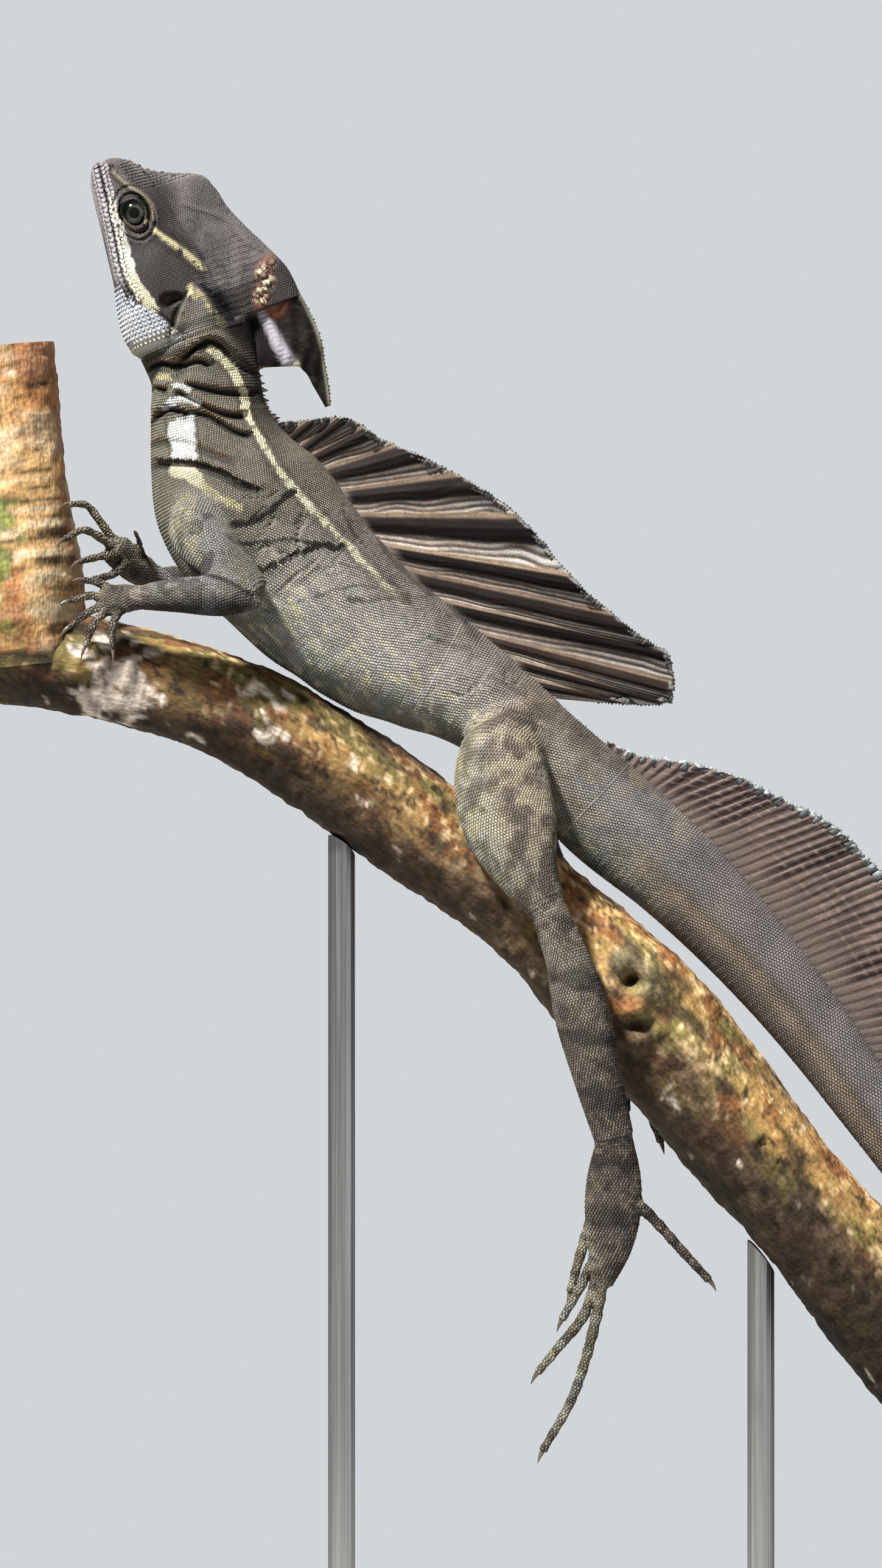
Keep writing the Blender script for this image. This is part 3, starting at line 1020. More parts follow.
PALE_MARKS = (
    (SIDE_STRIPE, 1.0, "cream", 1.0),
    (((-101.0, 515.6), (-97.0, 514.6), (-93.0, 511.6), (-88.0, 507.6), (-82.0, 504.6)), 1.5, "yellow", 0.75),
    (((-100.6, 515.4), (-97.0, 515.0), (-94.6, 513.4)), 2.1, "cream", 0.9),
    (((-104.0, 534.4), (-99.0, 536.8), (-94.0, 535.4)), 1.2, "white", 0.7),
    (((-100.5, 540.9), (-97.0, 539.6)), 0.9, "white", 0.8),
    (((-106.0, 543.5), (-102.5, 543.0)), 0.8, "yellow", 0.6),
)
LIP_STRIPE = ((0.2, 1.4), (5.8, 1.2), (16.9, 0.0), (26.8, -1.3), (34.2, -1.9), (41.0, -1.2), (47.6, 1.4))
CASQUE_SHADE = ((47.0, 19.6), (52.0, 20.4), (57.0, 22.0), (64.0, 22.5))
NAPE = ((-91.0, 566.8), (-84.0, 559.8), (-77.2, 556.4), (-73.1, 551.0))
TAIL_SIDE = ((18.0, 423.0), (36.0, 405.0), (54.0, 387.0), (73.8, 367.2), (88.2, 349.2), (106.2, 322.2),
             (128.0, 286.0))
FOREARM_FOLD = ((-103.0, 485.2), (-95.4, 485.4), (-88.0, 483.6), (-82.2, 481.1), (-77.6, 478.4))


def layers(tone, *coats):
    """Colours laid one over another, each a name or a value with its amount for each point."""
    for name, amount in coats:
        tone = lay(tone, TONES.get(name, name), amount)
    return tone


def head_tones(points):
    """Colours of the head at points in millimetres."""
    u, v = head_uv(points)
    mouth = line_at(MOUTH_LINE, u)
    blotch = speckle(points, 5.5, 51)
    fine = speckle(points, 1.3, 50)
    mottle = 0.3 + 1.2 * blotch
    tone = layers(np.tile(TONES["face"], (len(points), 1)),
                  ("snout", 0.8 * bell(u, 0.0, 8.0) + 0.5 * bell(line_at(CROWN_LINE, u) - v, 0.0, 5.0)),
                  ("casque", step_up(v, 14.0, 22.0) * 0.8))
    tone *= (0.55 + 0.9 * blotch)[:, None]
    lip, _ = off_line(u, v, LIP_STRIPE)
    lip_width = 1.5 + 0.8 * step_up(u, 12.0, 26.0) - 1.0 * step_up(u, 41.0, 47.0)
    band = step_up(-np.abs(lip + 0.9 * (fine - 0.5)), -lip_width, -0.75 * lip_width)
    below = step_up(mouth - v, 0.5, 0.9)
    near_lip = below * step_up(v - mouth, -3.6, -2.2) * step_down(u, 34.0, 40.0)
    jaw = below * (1.0 - near_lip) * step_up(u, 16.0, 28.0) * step_down(u, 36.0, 42.0)
    sac = line_at(POUCH_TOP, u) - v
    ring = oval(u, v, EYE_PLACE, EYE_OPENING)
    tone = layers(
        tone,
        ("lip", band),
        ("white", band * step_up(u + 8.0 * (fine - 0.5), 11.0, 22.0)),
        ("cream", 0.4 * band * step_up(u, 8.0, 20.0)),
        ("yellow", 0.75 * band * step_up(u, 32.0, 40.0) * (0.5 + fine)),
        ("dark", 0.4 * jaw),
        ("lip", 0.9 * np.maximum(below * step_down(u, 14.0, 27.0), near_lip)),
        ("white", 0.10 * near_lip * step_up(u, 6.0, 18.0) * (0.3 + fine)),
        ("dark", 0.6 * bell(v - mouth, 0.0, 0.35) * step_down(u, 42.0, 45.0)),
        ("throat", step_up(sac, 0.0, 0.5) * step_up(u, 36.0, 40.0)),
        ("white", 0.6 * step_up(sac, 0.8, 4.0) * step_up(u, 43.0, 48.0) * blotch),
        ("cream", 0.6 * step_up(sac, 0.0, 0.5) * step_up(u, 53.0, 57.0)),
        ("dark", 0.8 * bell(sac, -0.6, 0.6) * step_up(u, 46.0, 49.0)),
        ("dark", 0.95 * step_down(ring, 1.02, 1.16)),
        ("rust", 0.25 * bell(ring, 1.25, 0.12) * (0.4 + blotch)),
        ("dark", 0.65 * bell(ring, 1.60, 0.13) * mottle),
        ("neck", 0.45 * bell(ring, 1.90, 0.16) * mottle),
        ("dark", 0.45 * bell(ring, 2.22, 0.14) * mottle),
        ("dark", 0.5 * bell(ring, 2.9, 0.35) * step_up(u, 16.0, 22.0)))
    stripe, along = off_line(u, v, POSTOCULAR)
    bead = step_up(speckle(points, 1.4, 59), 0.30, 0.62)
    canthus, _ = off_line(u, v, CANTHUS)
    ridge, _ = off_line(u, v, CASQUE_RIDGE)
    seams = bell(np.abs(speckle(points * (1.0, 0.5, 1.0), 4.0, 63) - 0.5), 0.0, 0.022)
    wrinkle = step_up(np.sin(3.4 * u + 0.7 * np.sin(0.9 * v) + 2.0 * blotch), 0.5, 1.0)
    tone = layers(
        tone,
        ("dark", 0.55 * bell(stripe, 2.2, 1.0) + 0.55 * bell(stripe, -2.2, 1.0)),
        ("yellow", bell(stripe, 0.0, 0.75 + 0.45 * along, 4) * bead),
        ("cream", 0.35 * bell(stripe, 0.0, 0.6) * bead),
        ("hip", 0.45 * bell(canthus, 0.0, 0.6)),
        ("dark", 0.7 * bell(canthus, -1.3, 0.6)),
        ("dark", 0.55 * seams * step_up(v, 11.0, 15.0)),
        ("lilac", 0.16 * step_up(v, 13.0, 18.0) * step_up(speckle(points, 2.6, 64), 0.45, 0.70)),
        ("snout", 0.9 * bell(ridge, 0.0, 0.7)),
        ("dark", 0.25 * wrinkle * blob(u, v, (38.0, 20.0), (8.0, 9.0))))
    ear = oval(u, v, EAR_PLACE, EAR_SIZE)
    on, before, after = lappet(u, v)
    fold = step_up(u, 44.4, 46.0)
    tip = oval(u, v, (46.6, 13.8), (2.8, 2.2))
    patchy = step_up(fine + 0.3 * blotch, 0.35, 0.75)
    to_scar, _ = off_line(u, v, SCAR)
    scar = bell(to_scar, 0.0, 2.3, 4)
    rear = step_up(u + 0.25 * (v - 30.0), 45.0, 51.0) * step_up(v, 19.0, 23.0)
    deep, _ = off_line(u, v, CASQUE_SHADE)
    return layers(
        tone,
        ("dark", 0.7 * fold * bell(before, -1.6, 1.4)),
        ("web", 0.95 * fold * bell(after, -2.6, 2.0, 4) * step_up(u, 46.0, 50.0)),
        ("dark", 0.97 * step_down(ear, 0.9, 1.35)),
        ("scar", 0.30 * blob(u, v, (46.2, 5.2), (1.0, 1.4))),
        ("neck", 0.95 * on),
        ("lilac", 0.45 * on * blotch),
        ("yellow", 0.95 * step_up(-tip, -1.1, -0.7) * patchy),
        ("yellow", 0.85 * on * step_up(-after, -3.2, -1.4) * patchy * step_up(u, 46.0, 48.0)),
        ("dark", 0.82 * rear),
        ("scar", 0.55 * scar),
        ("cream", 0.75 * scar * step_up(speckle(points, 1.7, 52), 0.52, 0.70)),
        ("dark", 0.8 * scar * step_up(speckle(points, 1.5, 49), 0.60, 0.75)),
        ("web", bell(deep, 0.0, 3.1, 4) * step_up(u, 46.0, 50.0)))


def body_tones(points):
    """Colours of neck, trunk and tail at points in millimetres."""
    x, y, z = points.T
    s, share, _ = place_on_spine(points)
    blotch = speckle(points, 6.0, 53)
    middle = speckle(points, 3.2, 48)
    fine = speckle(points, 1.3, 54)
    trunk = step_up(s, 60.0, 80.0) * step_down(s, 190.0, 230.0)
    under_chin = step_up(6.6 - head_uv(points)[1], 0.0, 1.0)
    tone = layers(
        np.tile(TONES["flank"], (len(points), 1)),
        ("belly", step_up(-share, 0.05, 0.75)),
        ("dark", 0.45 * step_up(-share, 0.45, 0.95) * trunk),
        ("back", step_up(share, 0.30, 0.85)),
        ("neck", 0.85 * step_down(s, 58.0, 92.0)),
        ("throat", step_down(s, 0.5, 3.0) * under_chin),
        ("dark", 0.8 * bell(s, 4.6, 2.0) * under_chin),
        ("hip", 0.55 * blob(x, z, (4.0, 442.0), (15.0, 11.0)) * (0.55 + 0.7 * middle)),
        ("lilac", 0.3 * blob(x, z, (30.0, 424.0), (16.0, 12.0)) * step_up(blotch, 0.3, 0.7)),
        ("tail", step_up(s, 190.0, 240.0)),
        ("dark", 0.35 * step_up(s, 240.0, 420.0)))
    for d, t, height, width, _ in neck_folds(x, z):
        fade = step_up(t, 0.0, 0.1) * step_down(t, 0.9, 1.0) * step_down(s, 50.0, 60.0)
        fade *= min(1.0, 0.35 + 0.65 * height)
        tone = layers(tone, ("rust", 0.5 * fade * bell(d, -0.25 * width, 0.45 * width)),
                      ("dark", 1.1 * fade * bell(d, -1.55 * width, 0.85 * width, 4)))
    nape, _ = off_line(x, z, NAPE)
    box = np.maximum(np.abs(x + 98.4 + 0.12 * (z - 525.0)) / 4.0, np.abs(z - 525.2) / 6.4)
    tone = layers(
        tone,
        ("web", 0.97 * bell(nape, 0.0, 4.6, 4)),
        ("dark", 0.75 * step_up(share, 0.45, 0.85) * step_down(s, 26.0, 40.0)),
        ("white", step_down(box + 0.40 * (fine - 0.5) + 0.40 * (middle - 0.5), 0.80, 1.08)),
        ("dark", 0.5 * bell(box, 1.16, 0.08)))
    for line, width, name, strength in PALE_MARKS:
        d, t = off_line(x, z, line)
        edge = np.abs(d) + 0.9 * (fine - 0.5) + 0.9 * (middle - 0.5)
        fade = 1.0
        if line is SIDE_STRIPE:
            fade = step_down(t, 0.86, 1.0) * (1.0 - 0.75 * step_up(np.sin(118.0 * t), 0.80, 0.98))
            tone = layers(tone, ("dark", 0.35 * fade * bell(np.abs(d), 2.0, 0.6)))
            edge = edge - 0.55 * step_down(t, 0.05, 0.40)
        tone = layers(tone, (name, strength * fade * step_down(edge, 0.75 * width, 1.10 * width)))
    for line, width, strength in DARK_BARS:
        d, t = off_line(x, z, line)
        edge = np.abs(d) + 0.6 * (fine - 0.5) + 0.5 * width * (middle - 0.5)
        fade = step_up(t, 0.0, 0.06) * step_down(t, 0.92, 1.0)
        tone = layers(tone, ("dark", strength * fade * step_down(edge, 0.7 * width, 1.1 * width)))
    streaks = np.column_stack((0.35 * (x - z), 0.5 * y, 0.9 * (x + z)))
    flecks = step_up(speckle(streaks, 1.6, 55), 0.62, 0.76) * trunk
    bars = step_up(np.sin(0.15 * s + 2.4 * blotch), 0.55, 0.98) * step_up(s, 85.0, 130.0)
    mesh = step_down(np.abs(middle - 0.5), 0.0, 0.07)
    side_line, _ = off_line(x, z, TAIL_SIDE)
    down_tail = step_up(s, 190.0, 215.0) * step_down(s, 330.0, 440.0)
    pale_hip = blob(x, z, (40.0, 414.0), (15.0, 9.0)) * step_up(middle, 0.35, 0.65)
    near_hip = step_up(s, 160.0, 185.0) * step_down(s, 205.0, 250.0)
    tone = layers(
        tone,
        ("cream", 0.42 * flecks * step_up(-share, -0.5, 0.3)),
        ("yellow", 0.30 * flecks * step_up(-share, -0.2, 0.5)),
        ("dark", 0.30 * bars * step_up(share, -0.2, 0.5)),
        ("dark", 0.40 * mesh * step_up(share, -0.2, 0.6) * trunk),
        ("back", 0.45 * step_up(blotch, 0.48, 0.66) * trunk),
        ("throat", 0.22 * step_up(0.5 * middle + 0.5 * fine, 0.54, 0.66) * trunk
         * step_up(-share, -0.2, 0.4)),
        ("hip", 0.38 * down_tail * bell(side_line, -3.4, 2.6) * (0.6 + 0.6 * middle)),
        ("lilac", 0.42 * down_tail * step_up(side_line, -1.0, 2.0)),
        ("lilac", 0.7 * pale_hip),
        ("white", 0.14 * pale_hip),
        ("hip", 0.35 * near_hip * step_up(blotch, 0.45, 0.62) * (0.5 + middle)),
        ("dark", 0.30 * near_hip * step_up(middle, 0.55, 0.72)),
        ("throat", 0.12 * near_hip * step_down(middle, 0.28, 0.42)))
    tone *= (1.0 - 0.22 * step_up(s, 132.0, 165.0) * step_down(s, 215.0, 240.0))[:, None]
    return tone * (0.70 + 0.42 * blotch + 0.20 * fine)[:, None]


def limb_tones(points, part, s):
    """Colours of a limb; s is the distance from its upper end."""
    x, y, z = points.T
    blotch = speckle(points, 4.5, 56)
    middle = speckle(points, 2.6, 47)
    fine = speckle(points, 1.2, 57)
    is_leg = (x > -60.0).mean() > 0.5
    if is_leg:
        back_way = x + 0.22 * (z - 420.0)
        net = 0.45 * blotch + 0.35 * middle + 0.2 * fine
        rear = step_up(back_way, 2.0, 16.0)
        bars = step_up(np.sin(0.36 * z + 2.6 * blotch), 0.2, 0.9) * step_up(-z, -396.0, -372.0)
        tone = layers(
            np.tile(TONES["thigh"], (len(points), 1)),
            ("limb", step_up(-z, -412.0, -380.0)),
            ("digit", 0.88 * step_up(-z, -392.0, -340.0)),
            ("belly", 0.7 * step_up(-back_way, 4.0, 12.0)),
            ("yellow", 0.6 * step_up(-back_way, 3.0, 9.0) * step_up(middle, 0.45, 0.7)),
            ("digit", (0.55 + 0.30 * rear) * step_up(net, 0.44, 0.54)),
            ("dark", 0.40 * step_up(net, 0.52, 0.62) + 0.15 * rear),
            ("cream", 0.26 * (1.0 - 0.6 * rear) * step_up(-net, -0.46, -0.38) * step_up(z, 396.0, 412.0)),
            ("dark", 0.50 * bars),
            ("hip", 0.20 * (1.0 - bars) * step_up(-z, -396.0, -372.0) * step_up(fine, 0.45, 0.7)))
    else:
        fold, _ = off_line(x, z, FOREARM_FOLD)
        to_hand = step_up(-x, 104.0, 112.0)
        tone = layers(
            np.tile(0.72 * np.array(TONES["limb"]), (len(points), 1)),
            ("throat", 0.22 * step_up(-x, 82.0, 88.0) * step_up(z, 478.5, 482.0)),
            ("digit", 0.45 * step_up(0.6 * middle + 0.4 * fine, 0.48, 0.58) * step_up(z, 478.0, 484.0)),
            ("yellow", 0.35 * step_up(-x, 89.0, 95.0) * step_up(z, 482.0, 490.0) * step_up(fine, 0.4, 0.7)),
            ("dark", 0.88 * step_up(-x, 74.0, 82.0) * step_down(z, 475.0, 480.0)),
            ("digit", 0.8 * to_hand),
            ("hip", 0.35 * to_hand * step_up(middle, 0.35, 0.6)),
            ("throat", 0.16 * step_up(middle, 0.52, 0.68)),
            ("dark", 0.85 * bell(fold, 0.0, 0.7) * (y < 0.0)),
            ("dark", 0.6 * step_up(0.6 * blotch + 0.4 * middle, 0.50, 0.60)),
            ("yellow", 0.35 * step_up(-x, 92.0, 98.0) * step_up(z, 492.0, 500.0) * fine))
    if part == "digit":
        tone = layers(tone, ("dark", 0.5 * step_up(np.sin(1.15 * s), 0.3, 0.8)),
                      ("hip", 0.12 * step_up(fine, 0.4, 0.7)))
    return tone * (0.74 + 0.30 * blotch + 0.24 * fine)[:, None]


SPINE_SAMPLES = np.linspace(0.0, SPINE_LENGTH, 900)
SPINE_FRAMES = spine_frames(SPINE_SAMPLES)
spine_tree = search_tree(SPINE_FRAMES[0])


def place_on_spine(points):
    """For each point its place down the spine, its height from belly to back and its distance."""
    found = [spine_tree.find(p) for p in points]
    near = np.array([f[1] for f in found])
    up = dots(points - SPINE_FRAMES[0][near], SPINE_FRAMES[2][near])
    share = np.clip(up / SPINE_FRAMES[4][near], -1.3, 1.3)
    return SPINE_SAMPLES[near], share, np.array([f[2] for f in found])


LIMB_SAMPLES = 24


def limb_path(keys):
    """Evenly spaced rows down the middle of a limb or digit."""
    table = with_distance(keys)
    return rows_at(table, np.linspace(0.0, table[-1, 0], LIMB_SAMPLES))


LIMB_PATHS = [(name.rsplit("_", 1)[0], limb_path(keys)) for name, keys in LIMBS.items()]
for radius, digits in DIGITS.values():
    LIMB_PATHS += [("digit", limb_path(digit_keys(line, radius))) for line in digits]
LIMB_ROWS = np.concatenate([rows for _, rows in LIMB_PATHS])
LIMB_LENGTHS = np.concatenate([running_length(rows[:, :3]) for _, rows in LIMB_PATHS])
limb_tree = search_tree(LIMB_ROWS[:, :3])


def hide_tones(points):
    """Colour of the hide anywhere on the animal, blended where limbs join the trunk."""
    s, _, from_spine = place_on_spine(points)
    u, _ = head_uv(points)
    reach = np.interp(s, SPINE_SAMPLES, 0.5 * (SPINE_FRAMES[4] + SPINE_FRAMES[5]))
    found = [limb_tree.find(p) for p in points]
    near = np.array([f[1] for f in found])
    to_limb = np.array([f[2] for f in found]) / LIMB_ROWS[near, 3:5].mean(axis=1)
    on_limb = step_up(from_spine / reach - to_limb, -0.35, 0.25) * (points[:, 2] < 525.0)
    tone = body_tones(points)
    for k, (part, _) in enumerate(LIMB_PATHS):
        mine = (near // LIMB_SAMPLES == k) & (on_limb > 0.0)
        if mine.any():
            limb = limb_tones(points[mine], part, LIMB_LENGTHS[near[mine]])
            tone[mine] = lay(tone[mine], limb, on_limb[mine])
    near_head = (u < 62.0) & (points[:, 2] > 540.0)
    on_head = step_down(u[near_head], 56.0, 60.0)
    tone[near_head] = lay(tone[near_head], head_tones(points[near_head]), on_head)
    return np.clip(tone, 0.004, 0.95)


def hide_finish(name, grain, strength, gloss=0.18):
    """Skin or scale material: its own colour attribute under fine grain, with a soft waxy gloss."""
    finish, tree, shader = new_finish(name, 0.46, Specular_IOR_Level=gloss)
    fine = noise(tree, own_place(tree), grain, 4.0)
    shade = color_ramp(tree, fine, (0.30, (0.62, 0.60, 0.58)), (0.55, (1.0, 1.0, 1.0)),
                       (0.75, (1.22, 1.22, 1.20)))
    paint(tree, shader, stored(tree, "Color"), shade, 0.8)
    vary_roughness(tree, shader, fine, 0.42, 0.66)
    add_bump(tree, shader, fine, strength, 0.0003)
    return finish


skin_points = points_of(skin)
store_colors(skin, 0.72 * hide_tones(skin_points))
skin.data.materials.append(hide_finish("hide_between_scales", 2600.0, 0.5))
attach(skin, "root")
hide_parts("head", "lower_jaw", "neck", "torso", "tail_base", "tail_middle", "tail_end",
            "upper_arm_left", "upper_arm_right", "forearm_left", "forearm_right", "hand_left",
            "hand_right", "thigh_left", "thigh_right", "shank_left", "shank_right", "foot_left",
            "foot_right")

# Eyes. Dark green-brown irises with a thin paler ring round the pupil, under a clear wet cornea;
# each ball sits deep behind its lids.
PUPIL_RADIUS = 1.7


def eye_ball(name, side):
    """An eyeball in millimetres with its iris and pupil as vertex colours."""
    w = skull_width(np.array([EYE_PLACE[0]]), np.array([EYE_PLACE[1]]))[0] - EYE_SUNK
    center = from_head(*EYE_PLACE, side * w)
    tilt = np.linspace(0.03, math.pi - 0.03, 72)[:, None, None]
    turn = np.linspace(0.0, FULL_TURN, 96, endpoint=False)[None, :, None]
    across = np.sin(tilt) * (np.cos(turn) * HEAD_BACK + np.sin(turn) * HEAD_UP)
    rings = center + EYE_RADIUS * (np.cos(tilt) * side * SIDE + across)
    obj = ring_body(name, rings)
    points = points_of(obj) - center
    back = points @ HEAD_BACK
    up = points @ HEAD_UP
    r = np.hypot(back, up)
    outer = points[:, 1] * side > 0.0
    angle = np.arctan2(up, back)
    spoke = speckle(np.column_stack((np.cos(angle) * 9.0, np.sin(angle) * 9.0, r)), 0.8, 61)
    iris = np.array([0.019, 0.027, 0.021]) * (0.35 + 1.2 * spoke)[:, None]
    iris = lay(iris, (0.10, 0.085, 0.040), 0.5 * bell(r, 1.9, 0.14))
    iris *= (1.0 - 0.85 * step_up(r, 2.3, 3.0))[:, None]
    iris *= (1.0 - 0.9 * step_up(-points @ (HEAD_BACK + HEAD_UP), -0.4, 3.6))[:, None]
    iris[(r < PUPIL_RADIUS) & outer] = (0.003, 0.003, 0.003)
    iris[~outer] = (0.05, 0.04, 0.035)
    store_colors(obj, iris)
    return obj


eye_finish, tree, shader = new_finish("wet_eye", 0.10, Specular_IOR_Level=0.2, Coat_Weight=0.15,
                                      Coat_Roughness=0.03)
flecks = noise(tree, own_place(tree), 4200.0, 2.0)
fleck_shade = color_ramp(tree, flecks, (0.3, (0.7, 0.7, 0.7)), (0.7, (1.3, 1.3, 1.2)))
paint(tree, shader, stored(tree, "Color"), fleck_shade, 0.7)
for name, side in (("eye_left", -1.0), ("eye_right", 1.0)):
    eye = eye_ball("wet_" + name, side)
    eye.data.materials.append(eye_finish)
    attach(eye, "root")
    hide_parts(name)

# Scales. The whole hide is covered with small overlapping keeled scales in rows: beads on the
# throat and round the eyes, larger plates on snout, lips and casque, coarser keeled ones on the tail.
# Each is a closed chip of horn bedded in the skin, lifted a little at its free end.
hide_tree = BVHTree.FromPolygons([Vector(p) for p in skin_points],
                                 [tuple(f.vertices) for f in skin.data.polygons])


def chip(outline, top_height, keel):
    """A small closed scale: points along, across and over the skin, its triangles, and its shading."""
    count = len(outline)
    points = [*outline, (0.08, 0.0, top_height), (keel, 0.0, top_height * 1.15)]
    rear = [0.5 * (outline[i][0] + outline[(i + 1) % count][0]) > 0.5 * keel for i in range(count)]
    faces = [(0, k + 1, k) for k in range(1, count - 1)]
    faces += [(i, (i + 1) % count, count + 1 if rear[i] else count) for i in range(count)]
    for i in range(count):
        if rear[i - 1] != rear[i]:
            faces.append((i, count, count + 1) if rear[i - 1] else (i, count + 1, count))
    return np.array(points), np.array(faces), np.array([0.62] * count + [1.06, 1.18])


KEELED = chip(((-0.50, 0.0, -0.06), (-0.22, -0.44, -0.05), (0.30, -0.40, 0.02), (0.64, 0.0, 0.12),
               (0.30, 0.40, 0.02), (-0.22, 0.44, -0.05)), 0.20, 0.42)
BEAD = chip(((-0.48, 0.0, -0.06), (-0.24, -0.42, -0.06), (0.24, -0.42, -0.06), (0.48, 0.0, -0.06),
             (0.24, 0.42, -0.06), (-0.24, 0.42, -0.06)), 0.20, 0.20)
PLATE = chip(((-0.50, -0.16, -0.04), (-0.34, -0.44, -0.03), (0.30, -0.46, 0.0), (0.52, -0.2, 0.03),
              (0.52, 0.2, 0.03), (0.30, 0.46, 0.0), (-0.34, 0.44, -0.03), (-0.50, 0.16, -0.04)),
             0.13, 0.22)
scale_finish = hide_finish("scale_horn", 3400.0, 0.35)


def lay_scales(name, shape, bed, size, lift, seed, tones=None, deep=0.8, limit=0.9):
    """Scales of one shape rooted by the hide, turned along their ways, as one joined mesh."""
    template, faces, shade = shape
    roots, ways, charts = bed
    found = [hide_tree.find_nearest(root) for root in roots]
    near = np.array([f[3] < limit for f in found])
    spots = np.array([tuple(f[0]) for f in found])[near]
    normals = np.array([tuple(f[1]) for f in found])[near]
    along = ways[near]
    size = np.broadcast_to(size, len(roots))[near]
    tone = hide_tones(spots) if tones is None else tones[near]
    rng = np.random.default_rng(seed)
    count = len(spots)
    forward = unit(along - normals * dots(along, normals)[:, None])
    side = np.cross(normals, forward)
    forward = unit(forward + side * rng.normal(0.0, 0.06, count)[:, None])
    side = np.cross(normals, forward)
    stretch = size[:, None] * (1.0 + rng.normal(0.0, 0.05, (count, 2)))
    height = size * lift * (1.0 + rng.normal(0.0, 0.10, count))
    points = (spots[:, None, :]
              + template[None, :, 0:1] * (forward * stretch[:, 0:1])[:, None, :]
              + template[None, :, 1:2] * (side * stretch[:, 1:2])[:, None, :]
              + template[None, :, 2:3] * (normals * height[:, None])[:, None, :])
    tone = tone * rng.uniform(1.0 - 0.2 * deep, 1.0 + 0.2 * deep, count)[:, None]
    tone = np.clip(tone[:, None, :] * (1.0 + deep * (shade - 1.0))[None, :, None], 0.003, 0.97)
    tris = (faces[None] + np.arange(count)[:, None, None] * len(template)).reshape(-1, 3)
    obj = new_piece(name, points.reshape(-1, 3), tris)
    store_colors(obj, tone.reshape(-1, 3))
    unwrap = (charts[near][:, None, :] + template[None, :, :2] * 0.0015).reshape(-1, 2)
    layer = obj.data.uv_layers.new(name="OFBake")
    layer.data.foreach_set("uv", unwrap[tris.ravel()].astype(np.float32).ravel())
    obj.data.materials.append(scale_finish)
    return obj


def join_pieces(name, pieces):
    """Several meshes made one."""
    with bpy.context.temp_override(active_object=pieces[0], selected_editable_objects=pieces):
        bpy.ops.object.join()
    pieces[0].name = name
    pieces[0].data.name = name
    return pieces[0]


def rows_of_roots(rings, pitch, jitter, seed, sheet):
    """Roots in staggered rows on rings, evenly spaced round each from its top, the ways the rows run
    and the place of each root on the flat sheet."""
    rng = np.random.default_rng(seed)
    closed = np.roll(rings, -(rings.shape[1] // 2), axis=1)
    closed = np.concatenate((closed, closed[:, :1]), axis=1)
    last = len(rings) - 1
    roots = []
    ways = []
    charts = []
    for r, ring in enumerate(closed):
        length = running_length(ring)
        n = max(4, int(length[-1] / pitch[r]))
        at = (np.arange(n) + 0.5 * (r % 2)) / n * length[-1]
        at = (at + rng.normal(0.0, jitter * pitch[r], n)) % length[-1]
        low = np.clip(np.searchsorted(length, at, side="right") - 1, 0, len(ring) - 2)
        f = ((at - length[low]) / np.maximum(length[low + 1] - length[low], 1e-9))[:, None]
        before, here, after = (closed[k][low] * (1.0 - f) + closed[k][low + 1] * f
                               for k in (max(r - 1, 0), r, min(r + 1, last)))
        roots.append(here)
        ways.append(unit(after - before))
        down = sheet[0] + (sheet[1] - sheet[0]) * r / max(last, 1)
        across = sheet[2] + (sheet[3] - sheet[2]) * at / length[-1]
        charts.append(np.column_stack((np.full(n, down), across)))
    return np.concatenate(roots), np.concatenate(ways), np.concatenate(charts)


def part_of(bed, keep):
    """The roots of a bed that are kept, with their ways and places on the sheet."""
    return tuple(values[keep] for values in bed)


def finish_coat(piece):
    """Bind a coat piece to the body it covers and name its finish."""
    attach(piece, "root")


def trunk_pitch(s):
    """Spacing of the scale rows down the spine in millimetres."""
    return np.interp(s, (0.0, 40.0, 60.0, 170.0, 230.0, 320.0, 500.0, 650.0),
                     (0.76, 0.80, 0.88, 0.93, 0.95, 1.02, 0.98, 0.82))


def spaced(start, end):
    """Places of the scale rows down the spine from start to end."""
    places = [start]
    while places[-1] < end:
        places.append(places[-1] + 0.86 * trunk_pitch(places[-1]))
    return np.array(places[:-1])


WHOLE_SHEET = (0.01, 0.99, 0.01, 0.99)
# Coats of the trunk: name, start and end down the spine, points round each ring.
TRUNK_COATS = (("scales_neck", 0.2, 52.0, 160), ("scales_shoulders", 52.0, 84.0, 120),
               ("scales_trunk", 84.0, 130.0, 120), ("scales_hips", 130.0, 190.0, 120),
               ("scales_tail_root", 190.0, 310.0, 80), ("scales_tail", 310.0, 646.0, 60))
for name, start, end, sides in TRUNK_COATS:
    places = spaced(start, end)
    pitch = trunk_pitch(places)
    rings = body_rings(places, sides)
    bed = rows_of_roots(rings, pitch, 0.05, 7, WHOLE_SHEET)
    s_here = np.repeat(places, [max(4, int(np.linalg.norm(np.roll(r, -1, 0) - r, axis=1).sum() / p))
                                for r, p in zip(rings, pitch)])
    size = 1.12 * trunk_pitch(s_here)
    share = place_on_spine(bed[0])[1]
    throat = (share < 0.1) & (s_here < 6.5) | (share < -0.5) & (s_here < 22.0)
    if name == "scales_neck":
        piece = join_pieces(name, [
            lay_scales(name, KEELED, part_of(bed, ~throat), size[~throat], 0.9, 11, limit=1.5),
            lay_scales(name + "_low", PLATE, part_of(bed, throat), 1.3 * size[throat], 1.6, 12,
                       deep=1.2, limit=1.5)])
    else:
        piece = lay_scales(name, KEELED, bed, size, 0.9, 13, deep=0.35 if "tail" in name else 0.75)
    finish_coat(piece)

